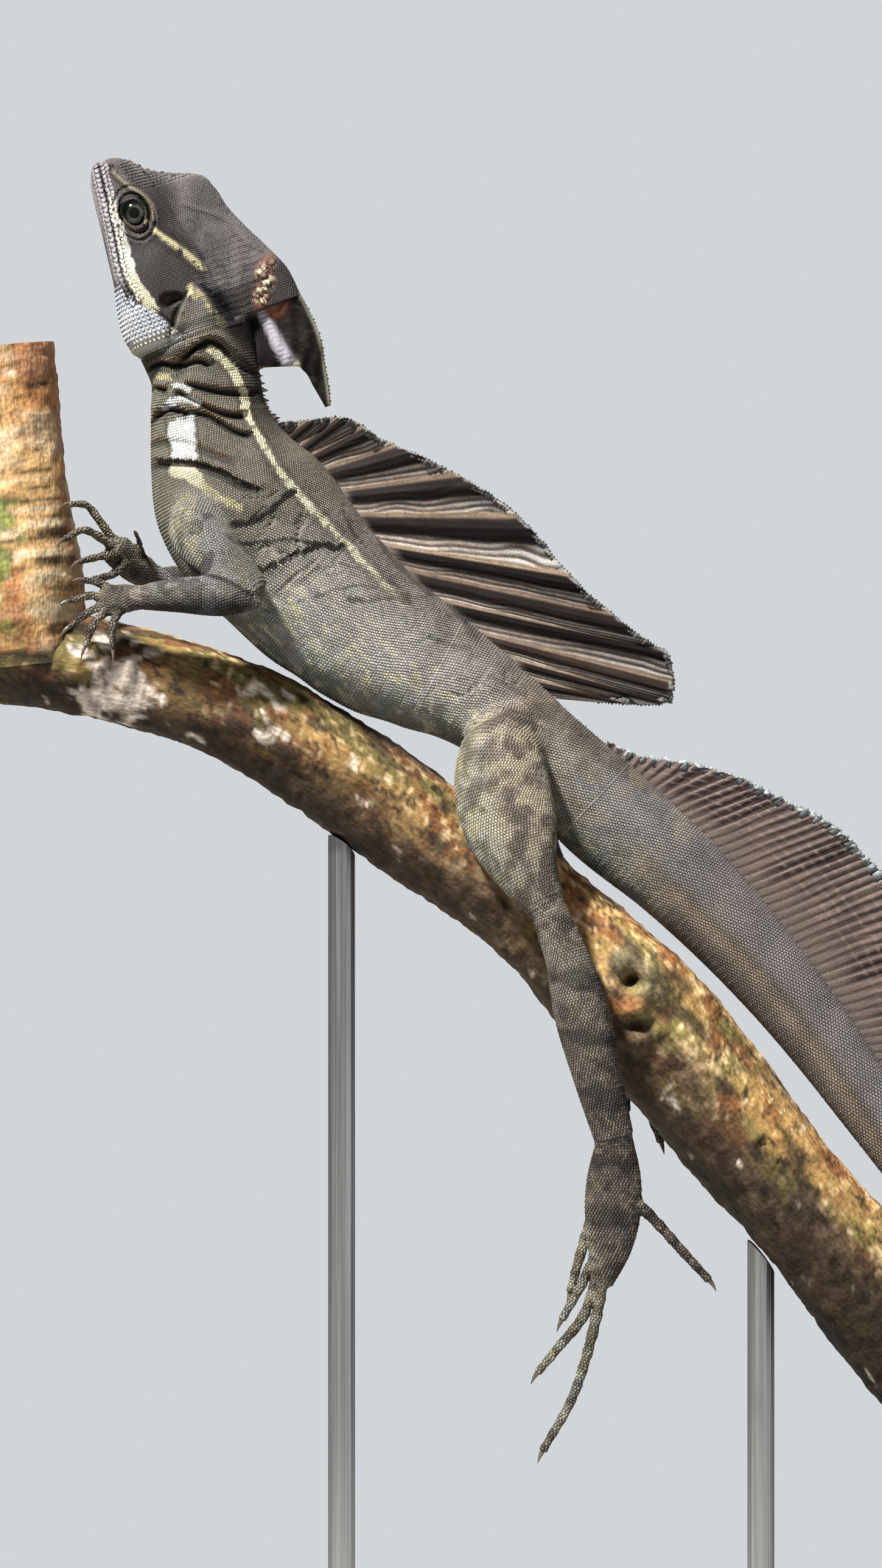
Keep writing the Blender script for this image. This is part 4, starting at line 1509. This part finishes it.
# Limb scales. Keeled rows round arms and legs, smaller on the palms, and broad cross plates along
# the digits, all of the same horn and bedded in the skin like those of the trunk.
LIMB_SCALES = {"arm": (("upper_arm_", 0.88), ("forearm_", 0.88), ("hand_", 0.85)),
               "leg": (("thigh_", 0.92), ("shank_", 0.95), ("foot_", 0.95))}
for side, limb_name in (("left", "arm"), ("left", "leg"), ("right", "arm"), ("right", "leg")):
    pieces = []
    for row, (piece_name, pitch) in enumerate(LIMB_SCALES[limb_name]):
        rings = limb_rings(LIMBS[piece_name + side], 0.86 * pitch, 48)
        band = 0.01 + 0.22 * row
        bed = rows_of_roots(rings, [pitch] * len(rings), 0.06, 17, (0.01, 0.99, band, band + 0.20))
        clear = part_of(bed, (bed[1] ** 2).sum(axis=1) > 0.5)
        pieces.append(lay_scales(piece_name + "scales", KEELED, clear, 1.14 * pitch, 0.9, 19, limit=1.1))
    radius, digits = DIGITS[LIMB_SCALES[limb_name][2][0] + side]
    for digit, line in enumerate(digits):
        rings = digit_rings(line, radius, 0.85, 24)
        band = 0.68 + 0.06 * digit
        bed = rows_of_roots(rings, [1.0] * len(rings), 0.05, 23, (0.01, 0.99, band, band + 0.05))
        pieces.append(lay_scales("digit_scales", PLATE, bed, 1.05, 1.2, 29, limit=0.7))
    finish_coat(join_pieces("scales_" + limb_name + "_" + side, pieces))

# Head scales. Two rows of plates along either lip, plates on the snout, fine grains on cheeks,
# temples and casque, rings of beads round the eyes and large warts along the scar of the casque.
GRAIN_PITCH = 0.74
# Rows of lip plates: height over the mouth and length of a plate.
LIP_ROWS = ((0.85, 1.7), (2.2, 1.5), (-1.0, 1.9), (-2.4, 1.6))
# Rings of lid beads: size in eye openings and number of beads.
LID_RINGS = ((1.16, 38), (1.34, 40), (1.80, 46), (2.00, 50), (2.40, 56))
WART_COUNT = 26


def head_bed(places, sides, pitch, jitter, seed):
    """A bed of roots round the head, and where each lies behind the snout and above the axis."""
    rings, _ = head_rings(places, sides)
    bed = rows_of_roots(rings, [pitch] * len(places), jitter, seed, WHOLE_SHEET)
    return bed, *head_uv(bed[0])


def half_width(u, v):
    """Half width of the skin at one place of the head."""
    return float(head_width(np.array([u]), np.array([v]))[0]) - INSET


bed, hu, hv = head_bed(np.arange(0.5, 57.0, 0.64), 360, GRAIN_PITCH, 0.10, 31)
eye = oval(hu, hv, EYE_PLACE, EYE_OPENING)
ear = oval(hu, hv, EAR_PLACE, EAR_SIZE)
nostril = oval(hu, hv, NOSTRIL_PLACE, NOSTRIL_SIZE)
lips = (np.abs(hv - line_at(MOUTH_LINE, hu) - 0.1) < 2.2) & (hu < 45.0)
open_skin = (eye > 1.10) & (ear > 0.95) & (nostril > 1.1) & ~lips
pouch = (hv < line_at(POUCH_TOP, hu)) & (hu > 37.0)
coarse = (hu < 13.0) & (hv > 6.0)
pieces = [lay_scales("head_grains", BEAD, part_of(bed, open_skin & ~coarse & ~pouch),
                     1.10 * GRAIN_PITCH, 0.7, 37, deep=0.55)]
bed, hu, hv = head_bed(np.arange(36.5, 57.0, 1.30), 300, 1.42, 0.03, 39)
pouch = (hv < line_at(POUCH_TOP, hu) + 0.2) & (hu > 37.0)
pieces.append(lay_scales("throat_plates", PLATE, part_of(bed, pouch), 1.18, 1.8, 38, deep=1.3))
bed, hu, hv = head_bed(np.arange(0.9, 57.0, 1.02), 300, 1.15, 0.12, 41)
clear = (oval(hu, hv, EYE_PLACE, EYE_OPENING) > 2.5) & (oval(hu, hv, NOSTRIL_PLACE, NOSTRIL_SIZE) > 1.5)
snout = (hu < 13.0) & (hv > 6.0) & (hv > line_at(MOUTH_LINE, hu) + 2.3)
pieces.append(lay_scales("head_plates", PLATE, part_of(bed, snout & clear), 1.28, 0.55, 43, deep=0.5))
roots = []
sizes = []
charts = []
for row, (offset, length) in enumerate(LIP_ROWS):
    for u in np.arange(1.2 + 0.8 * (row % 2), 44.0, 0.80 * length):
        v = float(line_at(MOUTH_LINE, np.array([u]))[0]) + offset
        w = half_width(u, v)
        if row == 3 and w < 3.0:
            continue
        for sign in (-1.0, 1.0):
            roots.append(from_head(u, v, sign * w))
            sizes.append(1.12 * length)
            charts.append((0.01 + 0.017 * u, 0.35 + 0.02 * row + 0.3 * (sign > 0.0)))
bed = (np.array(roots), np.tile(HEAD_BACK, (len(roots), 1)), np.array(charts))
pieces.append(lay_scales("lip_plates", PLATE, bed, np.array(sizes), 0.25, 47, deep=0.25, limit=1.6))
rng = np.random.default_rng(61)
at = rng.uniform(0.04, 0.96, WART_COUNT)
scar_keys = np.column_stack((np.linspace(0.0, 1.0, len(SCAR)), SCAR))
wart = rows_at(scar_keys, at) + rng.normal(0.0, 0.85, (WART_COUNT, 2))
half = (head_width(wart[:, 0], wart[:, 1]) - INSET)[:, None]
roots = np.concatenate([from_head(wart[:, :1], wart[:, 1:], sign * half) for sign in (-1.0, 1.0)])
wart_tones = np.where(rng.uniform(size=2 * WART_COUNT)[:, None] < 0.45,
                      0.6 * np.array(TONES["cream"]), (0.115, 0.062, 0.050))
bed = (roots, np.tile(HEAD_BACK, (2 * WART_COUNT, 1)), 0.4 + 0.01 * roots[:, ::2] / 30.0)
pieces.append(lay_scales("scar_warts", BEAD, bed, rng.uniform(1.6, 3.0, 2 * WART_COUNT), 0.7, 59,
                         tones=wart_tones, limit=2.5))
roots = []
ways = []
charts = []
for ring, (scale, count) in enumerate(LID_RINGS):
    for k in range(count):
        turn = FULL_TURN * (k + 0.5 * (ring % 2)) / count
        u = EYE_PLACE[0] + scale * EYE_OPENING[0] * math.cos(turn)
        v = EYE_PLACE[1] + scale * EYE_OPENING[1] * math.sin(turn)
        w = half_width(u, v)
        for sign in (-1.0, 1.0):
            roots.append(from_head(u, v, sign * w))
            ways.append(-math.sin(turn) * HEAD_BACK + math.cos(turn) * HEAD_UP)
            charts.append((0.02 * u, 0.5 + sign * (0.2 + 0.01 * v)))
bed = (np.array(roots), np.array(ways), np.array(charts))
pieces.append(lay_scales("lid_beads", BEAD, bed, 0.62, 1.0, 53))
finish_coat(join_pieces("scales_head", pieces))

# Claws. Curved, sharp and laterally flattened sheaths of dark horn at the tips of the twenty
# digits, each let into the flesh of its digit.
# Places down a claw: distance, drop and share of the radius.
CLAW_KEYS = ((0.0, 0.0, 0.62), (0.9, 0.02, 0.56), (1.9, 0.25, 0.40), (2.7, 0.65, 0.22), (3.2, 1.0, 0.06))
claws = []
for radius, digits in DIGITS.values():
    tip_radius = 0.65 * radius
    for line in digits:
        path = np.asarray(line, dtype=float)
        last = unit(path[-1] - path[-2])
        start = path[-1] + 0.5 * tip_radius * last
        keys = [(*(start + d * last + np.array([0.0, 0.0, -drop])), r * tip_radius, r * 0.75 * tip_radius)
                for d, drop, r in CLAW_KEYS]
        claws.append(ring_body("claw", limb_rings(keys, 0.35, 12, 0.0, False)))
claw_horn, tree, shader = new_finish("claw_horn", 0.28, Coat_Weight=0.3)
horn_color = color_ramp(tree, noise(tree, own_place(tree), 1500.0, 3.0),
                        (0.3, (0.035, 0.026, 0.020)), (0.7, (0.13, 0.095, 0.065)))
tree.links.new(horn_color, shader.inputs["Base Color"])
claws = join_pieces("claws", claws)
claws.data.materials.append(claw_horn)
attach(claws, "root")

# Dorsal sail and tail crest. Thin fins of skin over bony rays: each ray stands out as a pale ridge of
# small plates, the skin between is dark brown and finely lined across, and the edge is ragged.
SAIL_EDGE = (
    (0.00, -70.9, 530.6), (0.04, -62.6, 531.4), (0.10, -49.9, 532.2), (0.157, -39.6, 526.1),
    (0.22, -22.1, 517.9), (0.307, -3.8, 506.9), (0.386, 7.2, 496.6), (0.472, 16.4, 485.1),
    (0.55, 27.0, 475.2), (0.62, 38.3, 466.4), (0.71, 45.9, 460.8), (0.795, 47.2, 451.6),
    (0.905, 43.2, 446.8), (1.00, 23.8, 447.5),
)
# Rays of the sail: place down the back, place along the edge, how pale the slope before it is, how
# dark the hollow behind it.
SAIL_RAYS = (
    (31.0, 0.000, 0.15, 0.5), (38.0, 0.045, 0.25, 0.6), (44.5, 0.085, 0.25, 0.6),
    (50.8, 0.128, 0.30, 0.8), (58.5, 0.172, 0.35, 0.8), (67.2, 0.239, 0.40, 0.9),
    (76.5, 0.335, 0.60, 1.0), (88.5, 0.470, 1.00, 1.0), (99.5, 0.560, 0.35, 0.8),
    (115.2, 0.671, 0.75, 1.0), (131.0, 0.775, 0.55, 0.4), (141.0, 0.870, 0.90, 0.8),
    (150.0, 0.940, 0.80, 0.7), (158.0, 1.000, 0.90, 0.4),
)
TAIL_CREST_EDGE = (
    (182.0, 27.0, 437.4), (195.0, 39.0, 432.0), (207.0, 52.0, 430.2), (217.0, 66.0, 426.0),
    (228.0, 77.0, 420.6), (240.0, 92.0, 413.0), (252.0, 101.5, 405.0), (264.0, 109.5, 396.0),
    (278.0, 118.5, 383.0), (294.0, 127.5, 365.0), (314.0, 137.0, 342.0), (338.0, 145.0, 314.0),
    (362.0, 149.0, 288.0), (390.0, 149.0, 263.0),
)
SAIL_ROWS = 72
TAIL_CREST_ROWS = 44
TAIL_CREST_RAYS = 76


def fin(name, phases, roots, tips, rows, root_half, edge_half, pleat, seed, sub_lines):
    """A pleated fin: one column of points for each phase, whole numbers of it being rays. Each pleat
    rises slowly to its ray and falls steeply behind it."""
    columns = len(phases)
    turn = phases - np.floor(phases)
    ray = bell(turn, 0.0, 0.09) + bell(1.0 - turn, 0.0, 0.11)
    hollow = step_up(turn, 0.04, 0.16) * step_down(turn, 0.52, 0.72)
    slope = step_up(turn, 0.52, 0.72) * step_down(turn, 0.93, 1.0)
    height = 1.0 - 2.0 * np.where(turn < 0.3, step_up(turn, 0.0, 0.3), step_down(turn, 0.3, 1.0))
    reach = tips - roots
    length = np.linalg.norm(reach, axis=1)
    rag = speckle(np.column_stack((phases * sub_lines, phases * 0.0, phases * 0.0)), 0.7, seed)
    tips = tips - (((1.0 - np.clip(ray, 0.0, 1.0)) * 0.5 + 0.8 * rag + 0.5) / length)[:, None] * reach
    t = np.linspace(0.0, 1.0, rows + 1)[None, :]
    line = roots[:, None, :] + (tips - roots)[:, None, :] * t[..., None]
    flat = line.reshape(-1, 3)
    wander = (speckle(flat, 9.0, seed + 1) - 0.5).reshape(columns, rows + 1)
    grooves = 0.5 + 0.5 * np.cos(FULL_TURN * (sub_lines * phases[:, None] + 1.2 * wander + 0.5 * t))
    sway = pleat * height[:, None] * (0.25 + 0.75 * t) + 0.8 * wander * t
    beads = (0.5 + 0.5 * np.sin(FULL_TURN * t * length[:, None] / 1.7)) * ray[:, None]
    across = 0.5 + 0.5 * np.sin(FULL_TURN * t * length[:, None] / 1.2 + phases[:, None])
    thick = root_half + (edge_half - root_half) * t
    thick = thick * (0.70 + 0.18 * ray[:, None]) + 0.20 * grooves * (0.3 + 0.7 * t)
    thick = thick + 0.07 * beads + 0.03 * across
    sides = [line + ((sway + sign * thick)[..., None] * SIDE) for sign in (-1.0, 1.0)]
    points = np.concatenate([side.reshape(-1, 3) for side in sides])
    span = columns * (rows + 1)
    i = np.arange(columns - 1)[:, None] * (rows + 1)
    j = np.arange(rows)[None, :]
    face = np.stack((i + j, i + j + rows + 1, i + j + rows + 2, i + j + 1), axis=-1).reshape(-1, 4)
    rim = np.concatenate((np.arange(columns) * (rows + 1),
                          (columns - 1) * (rows + 1) + np.arange(1, rows + 1),
                          np.arange(columns - 2, -1, -1) * (rows + 1) + rows,
                          np.arange(rows - 1, 0, -1)))
    after = np.roll(rim, -1)
    edge = np.stack((rim, rim + span, after + span, after), axis=-1)
    obj = new_piece(name, points, face, face[:, ::-1] + span, edge)
    bm = bmesh.new()
    bm.from_mesh(obj.data)
    bmesh.ops.recalc_face_normals(bm, faces=bm.faces)
    bm.to_mesh(obj.data)
    bm.free()
    fine = speckle(flat, 1.1, seed + 2).reshape(sway.shape)
    blotch = speckle(flat, 7.0, seed + 3).reshape(sway.shape)
    return obj, t, ray[:, None], slope[:, None], hollow[:, None], grooves, fine, blotch


def paint_fin(obj, tone):
    """Give both faces of a fin the same colours."""
    flat = np.clip(tone.reshape(-1, 3), 0.004, 0.95)
    store_colors(obj, np.concatenate((flat, flat)))
    obj.data.materials.append(crest_finish)
    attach(obj, "root")


def crest_root(s, sink):
    """Points on the back that a crest grows from."""
    center, _, dorsal, _, depth, _ = spine_frames(s)
    return center + (depth - sink)[:, None] * dorsal


crest_finish = hide_finish("fin_skin", 2200.0, 0.5, 0.04)
rays = np.array(SAIL_RAYS)
number = np.arange(len(rays))
phases = np.linspace(0.0, len(rays) - 1.0, 30 * (len(rays) - 1) + 1)
sail_s = np.interp(phases, number, rays[:, 0])
edge_xz = rows_at(SAIL_EDGE, np.interp(phases, number, rays[:, 1]))
tips = np.column_stack((edge_xz[:, 0], np.zeros(len(phases)), edge_xz[:, 1]))
sail, t, ray, slope, hollow, grooves, fine, blotch = fin(
    "dorsal_sail", phases, crest_root(sail_s, 2.6), tips, SAIL_ROWS, 1.0, 0.40, 1.7, 71, 6.0)
ahead = np.minimum(np.ceil(phases), len(rays) - 1).astype(int)
pale = rays[ahead, 2][:, None]
deep = rays[np.floor(phases).astype(int), 3][:, None]
here = rays[np.rint(phases).astype(int), 2][:, None]
root = step_down(t + 0.10 * (blotch - 0.5), 0.02, 0.13)
tone = layers(
    np.array((0.028, 0.020, 0.017)) * (0.7 + 0.6 * blotch)[..., None],
    ((0.150, 0.105, 0.080), 0.6 * step_up(grooves, 0.55, 0.95) * slope * (0.4 + fine)),
    ((0.005, 0.004, 0.004), 0.98 * hollow * deep),
    ((0.500, 0.440, 0.390), pale * slope * (0.20 + 0.80 * grooves) * (0.6 + 0.6 * fine)),
    ((0.560, 0.545, 0.550), 0.7 * pale * slope * step_up(t, 0.45, 0.9) * step_up(grooves, 0.3, 0.9)),
    ((0.080, 0.060, 0.055), 0.75 * slope * step_down(grooves, 0.05, 0.35)),
    ((0.250, 0.190, 0.135), (0.25 + 0.45 * here) * step_up(ray, 0.35, 0.8) * (0.6 + 0.5 * fine)),
    ("back", root * (0.75 + 0.5 * (fine - 0.5))),
    ((0.30, 0.31, 0.31), 0.55 * step_up(t, 0.97, 0.995) * step_up(fine, 0.5, 0.75)))
paint_fin(sail, tone)
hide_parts("dorsal_crest")

crest_edge = np.array(TAIL_CREST_EDGE)
phases = np.linspace(0.0, TAIL_CREST_RAYS, 8 * TAIL_CREST_RAYS + 1)
crest_s = crest_edge[0, 0] + (crest_edge[-1, 0] - crest_edge[0, 0]) * (phases / TAIL_CREST_RAYS)
lean = 11.0 * step_up(crest_s, 182.0, 214.0) * step_down(crest_s, 340.0, 390.0)
edge_xz = rows_at(TAIL_CREST_EDGE, crest_s + lean)
center_y = spine_frames(crest_s + lean)[0][:, 1]
tips = np.column_stack((edge_xz[:, 0], center_y, edge_xz[:, 1]))
roots = crest_root(crest_s, 2.2)
tail_fin, t, ray, slope, hollow, grooves, fine, blotch = fin(
    "tail_fin", phases, roots, tips, TAIL_CREST_ROWS, 1.0, 0.42, 0.45, 81, 2.0)
depth = speckle(np.column_stack((phases, 0.0 * phases, 0.0 * phases)), 2.6, 87)
depth = step_up(depth, 0.44, 0.72)[:, None]
from_edge = (1.0 - t) * np.linalg.norm(tips - roots, axis=1)[:, None]
cross_lines = 0.5 + 0.5 * np.cos(FULL_TURN * (from_edge + 1.2 * blotch) / 3.6)
tone = layers(
    np.array((0.090, 0.067, 0.061)) * (0.75 + 0.5 * blotch)[..., None],
    ((0.014, 0.009, 0.010), hollow * (0.10 + 0.80 * depth) * step_up(t, 0.10, 0.35)),
    ((0.190, 0.150, 0.130), (0.25 + 0.60 * depth) * step_up(ray, 0.3, 0.9) * (0.3 + 0.7 * fine)),
    ((0.185, 0.145, 0.125),
     0.42 * step_up(cross_lines, 0.80, 0.99) * (0.2 + fine) * step_up(t, 0.2, 0.5)),
    ("tail", step_down(t + 0.35 * (blotch - 0.5) + 0.15 * ray, 0.02, 0.34) * 0.85),
    ((0.36, 0.42, 0.42), 0.8 * step_up(t, 0.95, 0.99) * step_up(fine, 0.45, 0.7)))
paint_fin(tail_fin, tone)
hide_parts("tail_crest")

# Edge scales. Small upright pointed scales, pale and bluish, in one row down the nape, and along the
# free edges of sail, tail crest and head flap, each bedded in the edge that it stands on.
SPIKE = np.array([(-0.58, -1.2, 0.20), (0.58, -1.2, 0.20), (0.58, -1.2, -0.20), (-0.58, -1.2, -0.20),
                  (-0.46, 0.0, 0.17), (0.56, 0.05, 0.17), (0.56, 0.05, -0.17), (-0.46, 0.0, -0.17),
                  (0.30, 0.55, 0.0)])
SPIKE_SIDES = np.array([(0, 1, 5), (0, 5, 4), (1, 2, 6), (1, 6, 5), (2, 3, 7), (2, 7, 6), (3, 0, 4),
                        (3, 4, 7), (4, 5, 8), (5, 6, 8), (6, 7, 8), (7, 4, 8), (0, 3, 2), (0, 2, 1)])
SPIKE_SHADE = np.array([0.5] * 4 + [0.9] * 4 + [1.2])


def edge_row(name, line, outward, size, tone, seed, rise=1.0):
    """Pointed scales along a line: a flat spike each, turned outward, with its own size and shade."""
    rng = np.random.default_rng(seed)
    count = len(line)
    way = unit(np.gradient(line, axis=0))
    size = size * rng.uniform(0.65, 1.25, count)
    spike = SPIKE.copy()
    spike[-1, 1] *= rise
    across = np.cross(way, outward)
    points = (line[:, None, :] + size[:, None, None] * (spike[None, :, 0:1] * way[:, None, :]
                                                        + spike[None, :, 1:2] * outward[:, None, :]
                                                        + spike[None, :, 2:3] * across[:, None, :]))
    tris = (SPIKE_SIDES[None] + len(spike) * np.arange(count)[:, None, None]).reshape(-1, 3)
    obj = new_piece(name, points.reshape(-1, 3), tris, smooth=False)
    shade = rng.uniform(0.55, 1.25, count)[:, None, None] * SPIKE_SHADE[None, :, None]
    store_colors(obj, np.clip(shade * np.array(tone), 0.004, 0.95).reshape(-1, 3))
    return obj


def even_line(line, spacing):
    """Points evenly spaced along a line."""
    length = running_length(line)
    at = np.arange(0.5 * spacing, length[-1], spacing)
    return np.column_stack([np.interp(at, length, line[:, k]) for k in range(3)])


def in_plane_normal(line, away_from):
    """Directions square to a line in the side view, pointing away from a line of points."""
    normal = unit(np.cross(unit(np.gradient(line, axis=0)), SIDE))
    normal[dots(normal, line - away_from) < 0.0] *= -1.0
    return normal


def free_edge(obj, columns, rows):
    """The line down the middle of a fin's outer edge."""
    return points_of(obj).reshape(2, columns, rows + 1, 3)[:, :, rows].mean(axis=0)


line = even_line(free_edge(sail, len(sail_s), SAIL_ROWS)[6:], 1.15)
outward = in_plane_normal(line, np.array([-20.0, 0.0, 470.0]))
edge_rows = [edge_row("sail_edge_scales", line, outward, 1.15, (0.12, 0.12, 0.115), 101)]
line = even_line(free_edge(tail_fin, len(crest_s), TAIL_CREST_ROWS)[10:], 1.3)
back = spine_frames(np.interp(np.arange(len(line)), (0, len(line) - 1), (190.0, 388.0)))[0]
outward = in_plane_normal(line, back)
edge_rows.append(edge_row("tail_fin_edge_scales", line, outward, 1.5, (0.24, 0.28, 0.29), 103))
# Rows down the back: name, places down the spine, sink, size, colour, seed and rise.
SPINE_ROWS = (("nape_spines", np.arange(7.0, 34.0, 1.5), 0.7, 1.8, (0.16, 0.15, 0.12), 107, 2.0),
              ("rump_spines", np.arange(159.0, 184.0, 1.5), 0.5, 1.3, (0.36, 0.36, 0.32), 109, 1.0),
              ("tail_spines", np.arange(388.0, 560.0, 1.7), 0.4, 1.5, (0.22, 0.20, 0.17), 113, 1.0))
for name, places, sink, size, tone, seed, rise in SPINE_ROWS:
    line = crest_root(places, sink)
    edge_rows.append(edge_row(name, line, spine_frames(places)[2], size, tone, seed, rise))

# Head crest. A loose flap of skin that hangs behind the bony casque, wrinkled and nearly black, with
# a pale pleated fold along its root and a row of small pale scales down its outer edge.
FLAP_LINE = ((56.0, 23.0, 43.2), (57.0, 23.0, 43.4), (63.0, 21.5, 44.2), (70.0, 20.5, 44.6),
             (73.2, 24.0, 44.3), (75.2, 30.4, 44.0), (76.6, 34.6, 43.6), (78.5, 36.0, 43.2),
             (84.0, 37.2, 42.2), (91.0, 38.4, 40.6))
STRIP = ((58.0, 30.4), (64.0, 31.4), (70.0, 32.0), (76.4, 33.4))


def flap_sway(u):
    """How far the flap hangs to the side."""
    return 0.6 * np.sin(0.32 * (u - 57.0))


flap_u = np.linspace(56.4, 90.9, 130)[:, None]
low_high = rows_at(FLAP_LINE, flap_u[:, 0])
a = np.linspace(0.0, FULL_TURN, 72, endpoint=False)[None, :]
side = np.sign(np.cos(a))
bulge = np.abs(np.cos(a))
low = low_high[:, 0:1] + 0.25
high = low_high[:, 1:2] - 0.25
v = 0.5 * (low + high) + 0.5 * (high - low) * np.sin(a)
u = np.broadcast_to(flap_u, v.shape)
w = (1.35 - 0.65 * (flap_u - 57.0) / 34.0) * side * bulge ** 0.55
w = w + side * (0.28 * np.sin(1.3 * v + 0.55 * u + 1.5 * np.sin(0.25 * u)) * bulge ** 0.5)
w = w * (1.0 - 0.45 * step_down(v, 27.0, 29.5) * (v < 30.0))
strip, _ = off_line(u, v, STRIP)
pleats = 0.5 + 0.5 * np.sin(4.4 * u)
w = w + side * bell(strip, 0.0, 1.9, 4) * (0.45 + 0.25 * pleats)
w = w * np.sqrt(np.clip((91.2 - flap_u) / 2.5, 0.02, 1.0))
flap = ring_body("head_flap", from_head(u[..., None], v[..., None], (w + flap_sway(flap_u))[..., None]))
flat = points_of(flap)
fu, fv = head_uv(flat)
low_edge, high_edge = rows_at(FLAP_LINE, fu).T
strip, along = off_line(fu, fv, STRIP)
tone = layers(
    np.array((0.005, 0.004, 0.004)) * (0.6 + 0.9 * speckle(flat, 3.0, 91))[:, None],
    ((0.016, 0.013, 0.011), step_up(speckle(flat * (1.0, 1.0, 2.2), 2.0, 92), 0.5, 0.8) * 0.7),
    ((0.31, 0.30, 0.34), bell(strip, 0.0, 1.4 + 0.9 * along, 4) * (0.55 + 0.45 * np.sin(2.2 * fu) ** 2)),
    ("web", step_down(strip, -2.4, -1.4) * (fv < 30.5)),
    ("rust", 0.8 * bell(fv - low_edge, 0.0, 0.9) * (fu > 68.0) * (fu < 74.4)),
    ("yellow", 0.9 * bell(fu, 76.6, 0.8) * (fv < 36.0)),
    ("scar", 0.8 * blob(fu, fv, (58.0, 34.0), (2.4, 3.2))),
    ((0.16, 0.15, 0.11), 0.8 * step_up(fv - high_edge, -1.6, -0.3)))
store_colors(flap, tone)
flap.data.materials.append(crest_finish)
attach(flap, "root")
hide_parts("head_crest")
edge_u = np.linspace(57.5, 90.6, 60)[:, None]
edge_v = rows_at(FLAP_LINE, edge_u[:, 0])[:, 1:2] - 0.45
line = even_line(from_head(edge_u, edge_v, flap_sway(edge_u)), 1.15)
outward = np.tile(HEAD_UP, (len(line), 1))
edge_rows.append(edge_row("flap_edge_scales", line, outward, 1.15, (0.24, 0.25, 0.20), 127))
edge_scales = join_pieces("edge_scales", edge_rows)
edge_scales.data.materials.append(scale_finish)
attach(edge_scales, "root")

# Room: a pale floor disc under the stand, soft studio light and the camera of the view.
bpy.ops.mesh.primitive_circle_add(vertices=128, radius=1.15, fill_type="NGON")
floor = bpy.context.object
floor.name = "floor"
pale_floor, tree, shader = new_finish("pale_floor", 0.7)
shader.inputs["Base Color"].default_value = (0.50, 0.50, 0.49, 1.0)
floor.data.materials.append(pale_floor)

world = bpy.data.worlds.new("studio")
world.use_nodes = True
room = world.node_tree.nodes["Background"]
room.inputs["Color"].default_value = (0.80, 0.83, 0.86, 1.0)
path = world.node_tree.nodes.new("ShaderNodeLightPath")
level = world.node_tree.nodes.new("ShaderNodeMapRange")
level.inputs[3].default_value = 0.25
level.inputs[4].default_value = 0.80
world.node_tree.links.new(path.outputs["Is Camera Ray"], level.inputs[0])
world.node_tree.links.new(level.outputs[0], room.inputs["Strength"])
bpy.context.scene.world = world
bpy.context.scene.view_settings.view_transform = "Standard"


def soft_light(name, place, size, power, tint):
    """A square studio light turned to the animal."""
    lamp = bpy.data.lights.new(name, "AREA")
    lamp.size = size
    lamp.energy = power
    lamp.color = tint
    obj = bpy.data.objects.new(name, lamp)
    obj.location = place
    aim = Vector((0.0, 0.0, 0.44)) - Vector(place)
    obj.rotation_euler = aim.to_track_quat("-Z", "Y").to_euler()
    bpy.context.scene.collection.objects.link(obj)


soft_light("key", (-0.75, -0.85, 1.9), 0.18, 140.0, (1.0, 0.97, 0.92))
soft_light("fill", (1.5, -1.2, 0.7), 1.2, 6.0, (0.93, 0.96, 1.0))
soft_light("back", (0.5, 1.5, 1.5), 0.8, 12.0, (1.0, 1.0, 1.0))

camera = bpy.data.cameras.new("view")
camera.lens = 139.75
camera.sensor_width = 36.0
camera.clip_start = 0.01
camera_object = bpy.data.objects.new("view", camera)
camera_object.location = (-0.0226, -1.8, 0.4234)
camera_object.rotation_euler = (math.radians(90.0), 0.0, 0.0)
bpy.context.scene.collection.objects.link(camera_object)
bpy.context.scene.camera = camera_object
